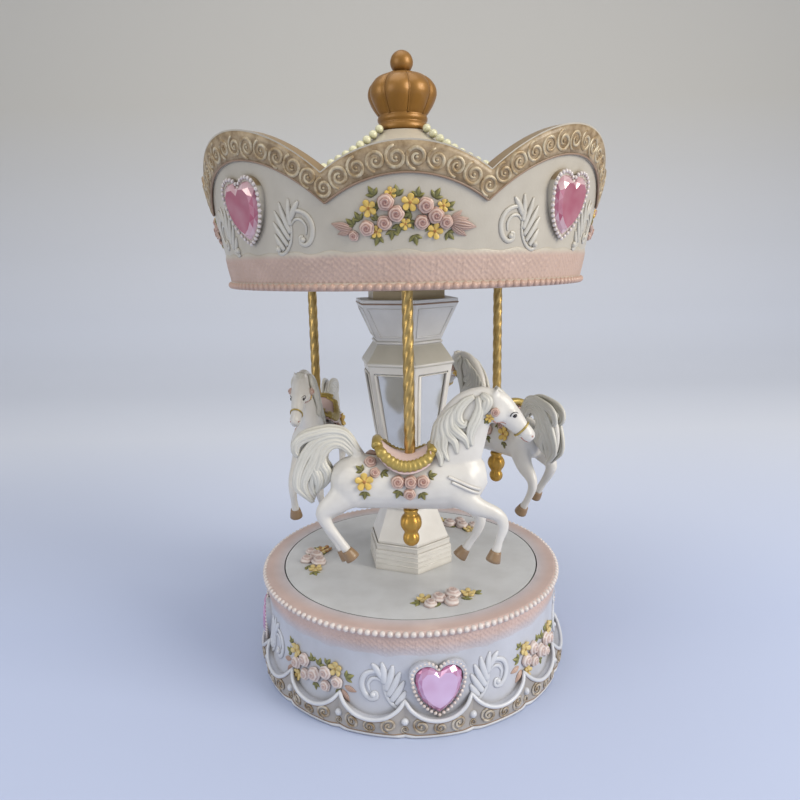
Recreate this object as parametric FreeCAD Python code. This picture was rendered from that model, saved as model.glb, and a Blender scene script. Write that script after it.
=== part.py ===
import FreeCAD, Part
import math
import os
from FreeCAD import Vector

os.makedirs("parts", exist_ok=True)

# A wind-up music box: a cast resin carousel that turns on its base as a comb movement plays.
# Millimetres, Z up, floor at z = 0, turning axis on Z. Azimuths are degrees from the front (-Y) towards +X.

# Fits
running_gap = 0.06
seat_gap = 0.1
side_gap = 0.3

# Base casting
base_height = 36.0
rim_radius = 54.0
foot_flare = 3.0
base_wall = 4.2
deck_thickness = 3.0
rim_bead_radius = 1.3
lobe_count = 16
lobe_depth = 1.1
lobe_turn = 8.0
foot_band_height = 12.5
foot_band_dip = 6.0
disc_radius = 47.5
disc_thickness = 2.6
disc_rim_gap = 0.45
washer_thickness = 0.5
washer_radius = 7.0

# Heart stones and flower sprays
heart_width = 15.0
heart_height = 15.4
heart_depth = 2.5
stone_table_share = 0.74
setting_width = 1.5
setting_proud = 1.0
setting_root = 2.0
stone_sink = 0.9
base_heart_height = 16.6
canopy_heart_rise = 23.0
rose_radius = 2.7
rose_count = 7
spray_half_width = 15.0
spray_arch = 7.0
base_spray_height = 19.8
canopy_rose_radius = 2.2
canopy_spray_rise = 24.0
disc_spray_circle = 36.0
disc_spray_half_width = 11.5
disc_spray_roses = 6
disc_rose_radius = 3.1
disc_spray_azimuths = (18.0, 145.0, -87.0)

# Column
column_turn = 9.0
pedestal_height = 24.0
pedestal_radius = 16.6
shaft_height = 51.5
shaft_foot_radius = 8.8
shaft_head_radius = 17.2
capital_height = 23.0
capital_waist_radius = 13.0
capital_head_radius = 19.4
cap_height = 6.5
cap_radius = 15.0
mirror_frame = 1.5
mirror_depth = 1.3
mirror_thickness = 1.0

# Canopy
valance_foot_radius = 59.0
valance_head_radius = 69.0
valance_sag = 0.3
valance_wall = 2.6
valance_ledge = 1.5
valance_ledge_width = 3.0
scallop_valley_rise = 30.6
flower_scallop_rise = 37.5
jewel_scallop_rise = 43.5
scallop_valley_azimuth = 19.5
border_height = 8.0
border_proud = 0.7
canopy_bead_radius = 1.25
ceiling_thickness = 2.5
roof_rise = 50.4
roof_rim_rise = 27.5
roof_sag = 2.9
roof_wall = 2.2
crown_seat_radius = 8.7
pearl_radius = 1.4
pearls_in_strand = 15

# Crown finial
crown_height = 26.1
crown_radius = 11.9
crown_lobes = 8
crown_foot_radius = 7.6
crown_ball_radius = 3.85
crown_hollow_radius = 5.0
crown_hollow_depth = 5.0

# Drive rod through the column
rod_radius = 2.0
rod_nut_radius = 3.7
rod_nut_height = 3.2
bush_radius = 4.2

# Poles and horses
pole_circle = 41.4
pole_radius = 1.75
pole_drop = 68.5
pole_socket_depth = 7.0
pole_socket_wall = 1.9
finial_ball_radius = 3.5
finial_tip_radius = 2.7
finial_collar_radius = 2.3
horse_length = 74.0
horse_yaws = (0.0, 0.0, 25.0)

# Bottom plate, key and arbor
key_room = 8.5
plate_thickness = 2.5
plate_step = 1.4
plate_boss_radius = 3.4
plate_boss_azimuths = (165.0, 270.0, 15.0)
plate_screw_length = 9.0
screw_radius = 1.0
screw_head_radius = 1.9
screw_head_height = 1.3
key_floor_gap = 0.8
key_wing_span = 11.0
key_thickness = 1.6
key_hub_radius = 3.3
arbor_radius = 1.75
arbor_collar_radius = 2.2
arbor_pivot_radius = 1.0
clutch_half_wire = 0.25
clutch_turns = 2
clutch_pitch = 0.95

# Movement
bedplate_thickness = 1.6
barrel_floor_gap = 1.0
barrel_radius = 11.2
barrel_wall = 0.9
barrel_flange = 1.4
barrel_cover_thickness = 2.0
barrel_boss_radius = 4.0
barrel_boss_height = 1.6
barrel_depth = 10.4
contrate_teeth = 30
contrate_radius = 13.0
contrate_width = 2.0
pinion_teeth = 10
spring_thickness = 0.3
spring_pitch = 0.95
spring_side_gap = 0.4
cylinder_radius = 6.2
cylinder_length = 18.6
tine_count = 18
pin_radius = 0.22
pin_height = 0.6
pins_per_track = 3
cylinder_arbor_radius = 0.9
post_thickness = 1.1
post_half_width = 2.2
train_module = 0.5
end_wheel_teeth = 28
governor_pinion_teeth = 8
governor_wheel_teeth = 20
train_wheel_thickness = 1.4
governor_arbor_radius = 0.7
worm_radius = 1.4
worm_turns = 4
fly_radius = 4.2
fly_height = 2.0
fly_thickness = 0.5
comb_thickness = 0.9
comb_length = 19.0
comb_body = 8.5
tine_gap = 0.3
comb_tip_gap = 0.2

# Levels and places that follow from the driving sizes
deck_top = base_height - disc_thickness - washer_thickness
deck_bottom = deck_top - deck_thickness
wall_inner = rim_radius - base_wall
plate_seat_radius = wall_inner + plate_step
plate_boss_circle = wall_inner - 0.6 * plate_boss_radius
plate_top = key_room + plate_thickness
bed_top = plate_top + bedplate_thickness
flange_bottom = bed_top + barrel_floor_gap
flange_top = flange_bottom + barrel_flange
barrel_top = flange_top + barrel_depth
rod_foot = barrel_top + 0.6 * barrel_cover_thickness
contrate_module = 2 * contrate_radius / contrate_teeth
pinion_radius = contrate_module * pinion_teeth / 2
train_z = flange_top + 1.1 * contrate_module + pinion_radius
canopy_z = base_height + pedestal_height + shaft_height + capital_height + cap_height - valance_ledge
ceiling_z = canopy_z + valance_ledge
ceiling_top = ceiling_z + ceiling_thickness
roof_top = canopy_z + roof_rise
roof_rim_z = canopy_z + roof_rim_rise
horse_z = canopy_z - pole_drop
horse_azimuths = [k * 360.0 / len(horse_yaws) for k in range(len(horse_yaws))]
rod_bore = rod_radius + running_gap
screw_bore = screw_radius + running_gap
Z_AXIS = Vector(0, 0, 1)
ORIGIN = Vector(0, 0, 0)


def save(name, *solids):
    """Write one node; like pieces share a node as separate solids."""
    shape = solids[0] if len(solids) == 1 else Part.makeCompound(list(solids))
    shape.exportStep("parts/" + name + ".step")


def around(radius, azimuth, z):
    """Point at an azimuth from the front."""
    angle = math.radians(azimuth)
    return Vector(radius * math.sin(angle), -radius * math.cos(angle), z)


def facing(shape, azimuth):
    """Copy of a piece built facing the front, turned to an azimuth."""
    copy = shape.copy()
    copy.rotate(ORIGIN, Z_AXIS, azimuth)
    return copy


def moved(shape, x, y, z):
    copy = shape.copy()
    copy.translate(Vector(x, y, z))
    return copy


def outline(start, *steps):
    """Closed face in the XZ plane; a step is a corner (x, z) or an arc ((x, z) on it, (x, z) at its end)."""
    at = Vector(start[0], 0, start[1])
    first = at
    edges = []
    for step in steps:
        if isinstance(step[0], tuple):
            middle = Vector(step[0][0], 0, step[0][1])
            end = Vector(step[1][0], 0, step[1][1])
            edges.append(Part.Arc(at, middle, end).toShape())
        else:
            end = Vector(step[0], 0, step[1])
            edges.append(Part.makeLine(at, end))
        at = end
    if at.distanceToPoint(first) > 1e-6:
        edges.append(Part.makeLine(at, first))
    return Part.Face(Part.Wire(edges))


def revolve(face):
    return face.revolve(ORIGIN, Z_AXIS, 360)


def slab(face, depth):
    """Front-facing face pushed out from the XZ plane to y = -depth."""
    return face.extrude(Vector(0, -depth, 0))


def rod(radius, z0, z1, x=0.0, y=0.0):
    return Part.makeCylinder(radius, z1 - z0, Vector(x, y, z0))


def rod_x(radius, x0, x1, y, z):
    return Part.makeCylinder(radius, x1 - x0, Vector(x0, y, z), Vector(1, 0, 0))


def box(x0, x1, y0, y1, z0, z1):
    return Part.makeBox(x1 - x0, y1 - y0, z1 - z0, Vector(x0, y0, z0))


def fuse(first, others):
    return first.multiFuse(others).removeSplitter()


def lobed_wire(count, cusp_radius, lobe_radius, z, turn):
    """Ring of arcs that meet in cusps, with a lobe centred on the azimuth turn."""
    step = 360.0 / count
    edges = []
    for k in range(count):
        middle = turn + k * step
        start = around(cusp_radius, middle - step / 2, z)
        end = around(cusp_radius, middle + step / 2, z)
        edges.append(Part.Arc(start, around(lobe_radius, middle, z), end).toShape())
    return Part.Wire(edges)


def heart_wire(width, height, y):
    """Heart facing the front, centred on x = z = 0, as four arcs."""
    def point(x, z):
        return Vector(x * width, y, z * height)
    tip = point(0, -0.52)
    notch = point(0, 0.28)
    right = point(0.5, 0.14)
    left = point(-0.5, 0.14)
    edges = [
        Part.Arc(tip, point(0.33, -0.22), right).toShape(),
        Part.Arc(right, point(0.28, 0.48), notch).toShape(),
        Part.Arc(notch, point(-0.28, 0.48), left).toShape(),
        Part.Arc(left, point(-0.33, -0.22), tip).toShape(),
    ]
    return Part.Wire(edges)


def heart_block(grow, y0, y1):
    face = Part.Face(heart_wire(heart_width + 2 * grow, heart_height + 2 * grow, y0))
    return face.extrude(Vector(0, y1 - y0, 0))


def heart_stone():
    """Cut stone: straight girdle, then facets that rise to a smaller table."""
    back = -(setting_proud - stone_sink) - running_gap
    girdle = back - 0.3 * heart_depth
    table = back - heart_depth
    wires = [
        heart_wire(heart_width, heart_height, back),
        heart_wire(heart_width, heart_height, girdle),
        heart_wire(stone_table_share * heart_width, stone_table_share * heart_height, table),
    ]
    return Part.makeLoft(wires, True, True)


def on_wall(shape, radius, z, tilt, azimuth):
    """Stand a front-facing piece on a wall that leans out by tilt degrees."""
    copy = shape.copy()
    copy.rotate(ORIGIN, Vector(1, 0, 0), tilt)
    copy.translate(Vector(0, -radius, z))
    return facing(copy, azimuth)


def set_hearts(wall, radius, z, tilt, azimuths):
    """Raise a pocketed setting on the wall for each stone; return the wall and its stones."""
    block = heart_block(setting_width, setting_root, -setting_proud)
    pocket = heart_block(seat_gap, -(setting_proud - stone_sink), -setting_proud - heart_depth)
    wall = fuse(wall, [on_wall(block, radius, z, tilt, a) for a in azimuths])
    for azimuth in azimuths:
        wall = wall.cut(on_wall(pocket, radius, z, tilt, azimuth))
    stone = heart_stone()
    return wall, [on_wall(stone, radius, z, tilt, a) for a in azimuths]


def arc_profile(low, middle, high):
    """Radius at a height on the arc through three (radius, height) points of a wall that bows inwards."""
    circle = Part.Arc(*[Vector(radius, 0, z) for radius, z in (low, middle, high)]).toShape().Curve
    centre = circle.Center

    def radius_at(z):
        return centre.x - math.sqrt(circle.Radius ** 2 - (z - centre.z) ** 2)
    return radius_at


def wall_solid(points, outer, inner):
    """Turned wall on an arc through three (radius, height) points, between two offsets."""
    low, middle, high = points
    return revolve(outline(
        (low[0] + outer, low[1]),
        ((middle[0] + outer, middle[1]), (high[0] + outer, high[1])),
        (high[0] + inner, high[1]),
        ((middle[0] + inner, middle[1]), (low[0] + inner, low[1]))))


def ring_wire(centre, across, deep, sides):
    """Polygon round a centre, between two half axes."""
    points = []
    for k in range(sides + 1):
        angle = 2 * math.pi * k / sides
        points.append(centre + across * math.cos(angle) + deep * math.sin(angle))
    return Part.makePolygon(points)


def turned_facets(base, along, sides, levels):
    """Faceted round piece on an axis; levels are (distance along the axis, radius)."""
    along = Vector(along).normalize()
    side = Vector(0, 0, 1) if abs(along.z) < 0.9 else Vector(1, 0, 0)
    across = along.cross(side).normalize()
    deep = along.cross(across)
    wires = [ring_wire(base + along * d, across * r, deep * r, sides) for d, r in levels]
    return Part.makeLoft(wires, True, True)


def rose(centre, outward, radius, root):
    """Rose head: petals open to a widest ring, then close in tiers to the heart; root is sunk in its wall."""
    return turned_facets(centre, outward, 7, (
        (-root, 0.7 * radius), (0.35 * radius, radius), (0.6 * radius, 0.8 * radius),
        (0.85 * radius, 0.35 * radius)))


def roses_on_wall(points, top_z, size, count, azimuths):
    """Arched spray of rose heads on a leafy bed, trimmed to the wall behind it."""
    radius_at = arc_profile(*points)
    backing = wall_solid(points, running_gap / 3, -3 * size)
    heads = []
    for k in range(count):
        t = 2.0 * k / (count - 1) - 1
        z = top_z - spray_arch * t * t
        centre = around(radius_at(z), math.degrees(spray_half_width * t / radius_at(z)), z)
        heads.append(rose(centre, Vector(centre.x, centre.y, 0), size * (1 - 0.25 * abs(t)), 0.6 * size))
    end_x = spray_half_width + size
    end_z = top_z - spray_arch * (end_x / spray_half_width) ** 2
    bed = outline(
        (end_x, end_z),
        ((0, top_z + 0.7 * size), (-end_x, end_z)),
        ((0, top_z - 0.7 * size), (end_x, end_z)))
    bed = moved(slab(bed, 8 * size), 0, 6 * size - radius_at(top_z), 0)
    bed = bed.common(wall_solid(points, 0.4 * size, -size))
    spray = fuse(bed, heads).cut(backing)
    return [facing(spray, a) for a in azimuths]


# Base: a hollow casting with a lobed foot, a recess for the turntable and a rebate for the bottom plate
skirt_radius = rim_radius + foot_flare
recess_radius = disc_radius + disc_rim_gap


skirt_points = ((skirt_radius - 1.0, 0), (rim_radius + 0.4, 0.35 * base_height),
    (rim_radius, base_height - 2 * rim_bead_radius))
skirt_radius_at = arc_profile(*skirt_points)


def foot_border():
    """Raised border: lobes in plan, rolled in height, its upper edge dipping in each lobe."""
    ring = Part.Face(lobed_wire(lobe_count, skirt_radius - lobe_depth, skirt_radius + 0.6, 0, lobe_turn))
    ring = ring.extrude(Vector(0, 0, foot_band_height))
    limit = revolve(outline(
        (plate_seat_radius + 1.0, 0),
        (skirt_radius - 0.8, 0),
        ((skirt_radius + 0.4, 0.35 * foot_band_height), (rim_radius + 0.9, foot_band_height)),
        (plate_seat_radius + 1.0, foot_band_height)))
    border = ring.common(limit)
    step = 360.0 / lobe_count
    half = 1.01 * skirt_radius * math.sin(math.radians(step / 2))
    low = foot_band_height - foot_band_dip
    field = outline(
        (half, foot_band_height),
        ((0, low), (-half, foot_band_height)),
        (-half, foot_band_height + 2),
        (half, foot_band_height + 2))
    field = slab(field, 2 * skirt_radius).cut(rod(rim_radius - 3, -1, base_height))
    for k in range(lobe_count):
        border = border.cut(facing(field, lobe_turn + k * step))
    return border


def base_casting():
    body = revolve(outline(
        (plate_seat_radius, 0),
        skirt_points[0],
        skirt_points[1:],
        ((rim_radius + 0.9 * rim_bead_radius, base_height - rim_bead_radius),
         (rim_radius, base_height)),
        (recess_radius, base_height),
        (recess_radius, deck_top),
        (bush_radius, deck_top),
        (bush_radius, deck_bottom),
        (wall_inner, deck_bottom),
        (wall_inner, plate_top),
        (plate_seat_radius, plate_top)))
    bosses = []
    for azimuth in plate_boss_azimuths:
        at = around(plate_boss_circle, azimuth, plate_top)
        bosses.append(Part.makeCylinder(plate_boss_radius, deck_bottom - plate_top, at))
    shell = fuse(body, [foot_border()] + bosses)
    for azimuth in plate_boss_azimuths:
        at = around(plate_boss_circle, azimuth, plate_top)
        shell = shell.cut(Part.makeCylinder(screw_bore, plate_screw_length, at))
    hearts = [lobe_turn + 90.0 * k for k in range(4)]
    return set_hearts(shell, skirt_radius_at(base_heart_height), base_heart_height, 0, hearts)


base_shell, base_stones = base_casting()
save("base_shell", base_shell)
save("base_heart_stones", *base_stones)
save("base_flower_sprays", *roses_on_wall(
    skirt_points, base_spray_height, rose_radius, rose_count,
    [lobe_turn + 45.0 + 90.0 * k for k in range(4)]))


# Bottom plate: a disc in the rebate, screwed up into the bosses; the movement is screwed to it from below
comb_x0 = contrate_radius + contrate_width / 2 + 2 * side_gap + post_thickness
movement_screws = ((-0.85 * barrel_radius, 0.6 * barrel_radius),
                   (-0.85 * barrel_radius, -0.6 * barrel_radius),
                   (comb_x0 + cylinder_length / 2, 0.0))


def screw_up(x, y, seat_z, length):
    """Pan-head screw with its head under seat_z and its shank above."""
    head = rod(screw_head_radius, seat_z - screw_head_height, seat_z, x, y)
    return head.fuse(rod(screw_radius, seat_z, seat_z + length - seat_gap, x, y)).removeSplitter()


plate = rod(plate_seat_radius - seat_gap, key_room, plate_top)
clutch_room = arbor_collar_radius + 2 * clutch_half_wire + 1.0
plate = plate.cut(rod(clutch_room, key_room - 1, plate_top + 1))
plate_screws = []
for azimuth in plate_boss_azimuths:
    at = around(plate_boss_circle, azimuth, 0)
    plate = plate.cut(rod(screw_bore, key_room - 1, plate_top + 1, at.x, at.y))
    plate_screws.append(screw_up(at.x, at.y, key_room, plate_thickness + plate_screw_length - seat_gap))
for x, y in movement_screws:
    plate = plate.cut(rod(screw_bore, key_room - 1, plate_top + 1, x, y))
save("bottom_plate", plate)
save("bottom_plate_screws", *plate_screws)
bedplate_grip = plate_thickness + bedplate_thickness
save("movement_screws", *[screw_up(x, y, key_room, bedplate_grip) for x, y in movement_screws])

# Deck bush and thrust washer: the turntable's weight runs on the washer
bush = rod(bush_radius - running_gap, deck_bottom, deck_top).cut(rod(rod_bore, 0, base_height))
save("deck_bush", bush)
washer = rod(washer_radius, deck_top, deck_top + washer_thickness - running_gap)
save("thrust_washer", washer.cut(rod(rod_bore, 0, base_height)))

# Winding key and arbor: turned by hand in the recess under the base
key_bottom = key_floor_gap
key_top = key_room - side_gap
wing_radius = (key_top - key_bottom) / 2
wing_z = (key_top + key_bottom) / 2
wing_x = key_wing_span - wing_radius
key = rod(key_hub_radius, key_bottom + 0.6, key_top)
for side in (-1, 1):
    wing = Part.makeCylinder(wing_radius, key_thickness, Vector(side * wing_x, key_thickness / 2, wing_z),
        Vector(0, -1, 0))
    web = box(min(0, side * wing_x), max(0, side * wing_x), -key_thickness / 2, key_thickness / 2,
              wing_z - 0.6 * wing_radius, wing_z + 0.6 * wing_radius)
    eye = Part.makeCylinder(0.4 * wing_radius, 2 * key_thickness,
        Vector(side * wing_x, key_thickness, wing_z), Vector(0, -1, 0))
    key = key.fuse(wing).fuse(web).cut(eye)
key = key.removeSplitter().cut(rod(arbor_radius + running_gap, wing_z - 1, key_top + 1))
save("winding_key", key)

spring_hub_radius = arbor_collar_radius + 0.2
arbor = rod(arbor_radius, wing_z - 1 + seat_gap, barrel_top - side_gap)
collar = rod(arbor_collar_radius, key_room + 0.2, plate_top - 0.1)
hub = rod(spring_hub_radius, flange_top + side_gap, barrel_top - side_gap)
pivot = rod(arbor_pivot_radius, barrel_top - side_gap, barrel_top + 0.3 * barrel_cover_thickness)
save("winding_arbor", fuse(arbor, [collar, hub, pivot]))


def coil(radius, half_wire, pitch, turns, z0):
    """Square wire wound into an open helix."""
    helix = Part.makeHelix(pitch, pitch * turns, radius)
    helix.translate(Vector(0, 0, z0))
    corners = ((-1, -1), (1, -1), (1, 1), (-1, 1), (-1, -1))
    section = Part.makePolygon([Vector(radius + half_wire * a, 0, z0 + half_wire * b) for a, b in corners])
    return Part.Wire(helix.Edges).makePipeShell([section], True, True)


clutch_radius = arbor_collar_radius + clutch_half_wire + 0.15
save("clutch_spring", coil(clutch_radius, clutch_half_wire, clutch_pitch, clutch_turns,
    key_room + clutch_half_wire))

# Movement bedplate: flat plate with the comb block and the cylinder's two bearing posts
cylinder_x0 = comb_x0 + side_gap
cylinder_x1 = cylinder_x0 + cylinder_length
end_wheel_x = cylinder_x1 + side_gap
outer_post_x = end_wheel_x + train_wheel_thickness + side_gap
pin_circle = cylinder_radius + pin_height
comb_y0 = pin_circle + comb_tip_gap
comb_y1 = comb_y0 + comb_length
block_y0 = comb_y1 - comb_body
comb_bottom = train_z - comb_thickness / 2
end_wheel_radius = train_module * end_wheel_teeth / 2
governor_pinion_radius = train_module * governor_pinion_teeth / 2
governor_wheel_radius = train_module * governor_wheel_teeth / 2
governor_y = -(end_wheel_radius + governor_pinion_radius)
governor_wheel_x = end_wheel_x + train_wheel_thickness + side_gap
worm_x = governor_wheel_x + train_wheel_thickness / 2
worm_y = governor_y - governor_wheel_radius - worm_radius
frame_post_in = end_wheel_x - side_gap - post_thickness
frame_post_out = governor_wheel_x + train_wheel_thickness + side_gap
frame_back_y = worm_y - fly_radius - side_gap
frame_pad = 1.2

bed = rod(contrate_radius + contrate_width / 2, plate_top, bed_top)
comb_arm = box(0, cylinder_x1, governor_y / 2, comb_y1, plate_top, bed_top)
frame_arm = box(frame_post_in - 1, frame_post_out + post_thickness, frame_back_y - post_thickness,
    post_half_width,
                plate_top, bed_top)
block = box(cylinder_x0, cylinder_x1, block_y0, comb_y1, bed_top, comb_bottom)
posts = [box(x, x + post_thickness, -post_half_width, post_half_width, bed_top, train_z + post_half_width)
         for x in (comb_x0 - post_thickness, outer_post_x)]
bed = fuse(bed, [comb_arm, frame_arm, block] + posts)
bed = bed.cut(rod_x(cylinder_arbor_radius + running_gap, 0, outer_post_x + 5, 0, train_z))
bed = bed.cut(rod(arbor_radius + running_gap, 0, bed_top + 1))
comb_screw_x = [cylinder_x0 + cylinder_length * t for t in (0.2, 0.8)]
comb_screw_y = comb_y1 - 0.45 * comb_body
comb_screw_depth = 4.0
for x in comb_screw_x:
    bed = bed.cut(rod(screw_bore, comb_bottom - comb_screw_depth, comb_bottom + 1, x, comb_screw_y))
for x, y in movement_screws:
    bed = bed.cut(rod(screw_bore, plate_top - 1, bed_top, x, y))
frame_screw = (governor_wheel_x, frame_back_y / 2 + worm_y / 2)
save("movement_bedplate", bed)

# Tuned comb: one steel plate, its tines freed by saw cuts that get deeper towards the bass end
comb = box(cylinder_x0, cylinder_x1, comb_y0, comb_y1, comb_bottom, comb_bottom + comb_thickness)
tine_pitch = cylinder_length / tine_count
for k in range(1, tine_count):
    x = cylinder_x0 + k * tine_pitch
    depth = (comb_length - comb_body) * (0.75 + 0.25 * k / tine_count)
    comb = comb.cut(box(x - tine_gap / 2, x + tine_gap / 2, comb_y0 - 1, comb_y0 + depth,
        comb_bottom - 1, comb_bottom + 2))
comb_screws = []
for x in comb_screw_x:
    comb = comb.cut(rod(screw_bore, comb_bottom - 1, comb_bottom + 2, x, comb_screw_y))
    shank = rod(screw_radius, comb_bottom - comb_screw_depth + seat_gap, comb_bottom + comb_thickness,
        x, comb_screw_y)
    head = rod(screw_head_radius, comb_bottom + comb_thickness,
        comb_bottom + comb_thickness + screw_head_height, x, comb_screw_y)
    comb_screws.append(shank.fuse(head).removeSplitter())
save("comb", comb)
save("comb_screws", *comb_screws)


# Toothed wheels: straight-flanked teeth cut thin, so that a loose train never binds
def toothed_disc(teeth, module, thickness, turn):
    """Spur wheel about X from x = 0, with a tooth centred at turn degrees from +Y towards +Z."""
    pitch_radius = module * teeth / 2
    root = pitch_radius - 1.15 * module
    tip = pitch_radius + 0.8 * module
    step = 2 * math.pi / teeth
    points = []
    for k in range(teeth):
        middle = math.radians(turn) + k * step
        for radius, offset in ((root, -0.27), (tip, -0.09), (tip, 0.09), (root, 0.27)):
            angle = middle + offset * step
            points.append(Vector(0, radius * math.cos(angle), radius * math.sin(angle)))
    points.append(points[0])
    return Part.Face(Part.makePolygon(points)).extrude(Vector(thickness, 0, 0))


# Spring barrel: drum with upright contrate teeth on its flange, closed by a cover that drives the rod
tooth_pitch = math.pi * contrate_module
drum = rod(contrate_radius + contrate_width / 2, flange_bottom, flange_top)
drum = drum.fuse(rod(barrel_radius, flange_top, barrel_top)).removeSplitter()
drum = drum.cut(rod(barrel_radius - barrel_wall, flange_top, barrel_top + 1))
drum = drum.cut(rod(arbor_radius + running_gap, 0, barrel_top + 1))
tooth = outline(
    (-0.27 * tooth_pitch, flange_top - 0.2),
    (0.27 * tooth_pitch, flange_top - 0.2),
    (0.27 * tooth_pitch, flange_top),
    (0.09 * tooth_pitch, flange_top + 1.9 * contrate_module),
    (-0.09 * tooth_pitch, flange_top + 1.9 * contrate_module),
    (-0.27 * tooth_pitch, flange_top))
tooth = moved(slab(tooth, contrate_width), 0, -(contrate_radius - contrate_width / 2), 0)
tooth_step = 360.0 / contrate_teeth
drum = fuse(drum, [facing(tooth, 90 + (k + 0.5) * tooth_step) for k in range(contrate_teeth)])
save("spring_barrel", drum)

boss_top = barrel_top + barrel_cover_thickness + barrel_boss_height
cover = rod(barrel_radius, barrel_top, barrel_top + barrel_cover_thickness)
cover = cover.fuse(rod(barrel_boss_radius, barrel_top + barrel_cover_thickness, boss_top)).removeSplitter()
cover = cover.cut(rod(rod_radius + running_gap, rod_foot, boss_top + 1))
cover = cover.cut(rod(arbor_pivot_radius + running_gap, barrel_top - 1,
    barrel_top + 0.4 * barrel_cover_thickness))
save("barrel_cover", cover)


def mainspring():
    """Flat strip in half turns whose centres step to and fro, so that each turn lies outside the last."""
    inner = []
    outer = []
    radius = spring_hub_radius + 0.3
    limit = barrel_radius - barrel_wall - 0.3
    centre = 0.0
    side = 1
    while abs(centre) + radius + spring_thickness < limit:
        inner.append((centre, radius, side))
        outer.append((centre, radius + spring_thickness, side))
        centre += side * spring_pitch / 2
        radius += spring_pitch / 2
        side = -side
    edges = []
    for path in (inner, outer):
        for x, r, s in path:
            start = Vector(x + s * r, 0, 0)
            end = Vector(x - s * r, 0, 0)
            edges.append(Part.Arc(start, Vector(x, s * r, 0), end).toShape())
    x, r, s = inner[0]
    edges.append(Part.makeLine(Vector(x + s * r, 0, 0), Vector(x + s * (r + spring_thickness), 0, 0)))
    x, r, s = inner[-1]
    edges.append(Part.makeLine(Vector(x - s * r, 0, 0), Vector(x - s * (r + spring_thickness), 0, 0)))
    face = Part.Face(Part.Wire(Part.__sortEdges__(edges)))
    strip = face.extrude(Vector(0, 0, barrel_depth - 2 * spring_side_gap))
    return moved(strip, 0, 0, flange_top + spring_side_gap)


save("mainspring", mainspring())

# Pinned cylinder with its pinion and end wheel on one arbor
pinion_x = contrate_radius - contrate_width / 2
drum_pins = []
for track in range(tine_count):
    x = cylinder_x0 + (track + 0.5) * tine_pitch
    for k in range(pins_per_track):
        angle = math.radians(360.0 * k / pins_per_track + 47.0 * track)
        direction = Vector(0, math.cos(angle), math.sin(angle))
        at = Vector(x, 0, train_z) + direction * (cylinder_radius - 0.5)
        drum_pins.append(Part.makeCylinder(pin_radius, pin_height + 0.5, at, direction))
music_drum = rod_x(cylinder_radius, cylinder_x0, cylinder_x1, 0, train_z)
music_drum = music_drum.multiFuse(drum_pins)
arbor_bore = rod_x(cylinder_arbor_radius + running_gap, 0, outer_post_x + 9, 0, train_z)
save("music_cylinder", music_drum.cut(arbor_bore))
save("cylinder_arbor", rod_x(cylinder_arbor_radius, pinion_x, outer_post_x + post_thickness, 0, train_z))
pinion = moved(toothed_disc(pinion_teeth, contrate_module, contrate_width, -90), pinion_x, 0, train_z)
save("cylinder_pinion", pinion.cut(arbor_bore))
end_wheel = moved(toothed_disc(end_wheel_teeth, train_module, train_wheel_thickness, 180),
    end_wheel_x, 0, train_z)
save("cylinder_end_wheel", end_wheel.cut(arbor_bore))

# Governor: pinion and worm wheel on one arbor, a worm with an air fly, and the frame that carries them
governor_bore = rod_x(governor_arbor_radius + running_gap, 0, frame_post_out + 9, governor_y, train_z)
governor_pinion = toothed_disc(governor_pinion_teeth, train_module, train_wheel_thickness,
    180.0 / governor_pinion_teeth)
save("governor_pinion", moved(governor_pinion, end_wheel_x, governor_y, train_z).cut(governor_bore))
governor_wheel = toothed_disc(governor_wheel_teeth, train_module, train_wheel_thickness, 180)
save("governor_wheel", moved(governor_wheel, governor_wheel_x, governor_y, train_z).cut(governor_bore))
save("governor_arbor", rod_x(governor_arbor_radius, frame_post_in, frame_post_out + post_thickness,
    governor_y, train_z))

worm_pitch = math.pi * train_module
worm_root = worm_radius - 0.9 * train_module
worm_tip = worm_radius + 0.7 * train_module
thread = Part.makePolygon([
    Vector(worm_root - 0.1, 0, -0.25 * worm_pitch),
    Vector(worm_tip, 0, -0.09 * worm_pitch),
    Vector(worm_tip, 0, 0.09 * worm_pitch),
    Vector(worm_root - 0.1, 0, 0.25 * worm_pitch),
    Vector(worm_root - 0.1, 0, -0.25 * worm_pitch)])
helix = Part.makeHelix(worm_pitch, worm_pitch * worm_turns, worm_radius)
thread = Part.Wire(helix.Edges).makePipeShell([thread], True, True)
thread_z = train_z + worm_pitch / 4 - worm_pitch * worm_turns / 2
fly_z = max(train_z + governor_wheel_radius + train_module,
    thread_z + worm_pitch * (worm_turns + 0.3)) + side_gap
fly_top = fly_z + fly_height
arm_z = fly_top + side_gap
worm = rod(worm_root, thread_z - 0.4 * worm_pitch, fly_z, worm_x, worm_y)
worm = worm.fuse(moved(thread, worm_x, worm_y, thread_z))
spindle_radius = 0.8 * worm_root
spindle = rod(spindle_radius, bed_top + running_gap, arm_z + frame_pad, worm_x, worm_y)
save("governor_worm", worm.fuse(spindle).removeSplitter())
blades = box(worm_x - fly_radius, worm_x + fly_radius, worm_y - fly_thickness / 2,
    worm_y + fly_thickness / 2, fly_z, fly_top)
fly = blades.fuse(rod(2 * spindle_radius, fly_z, fly_top, worm_x, worm_y)).removeSplitter()
save("air_fly", fly.cut(rod(spindle_radius + running_gap, fly_z - 1, fly_top + 1, worm_x, worm_y)))

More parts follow.
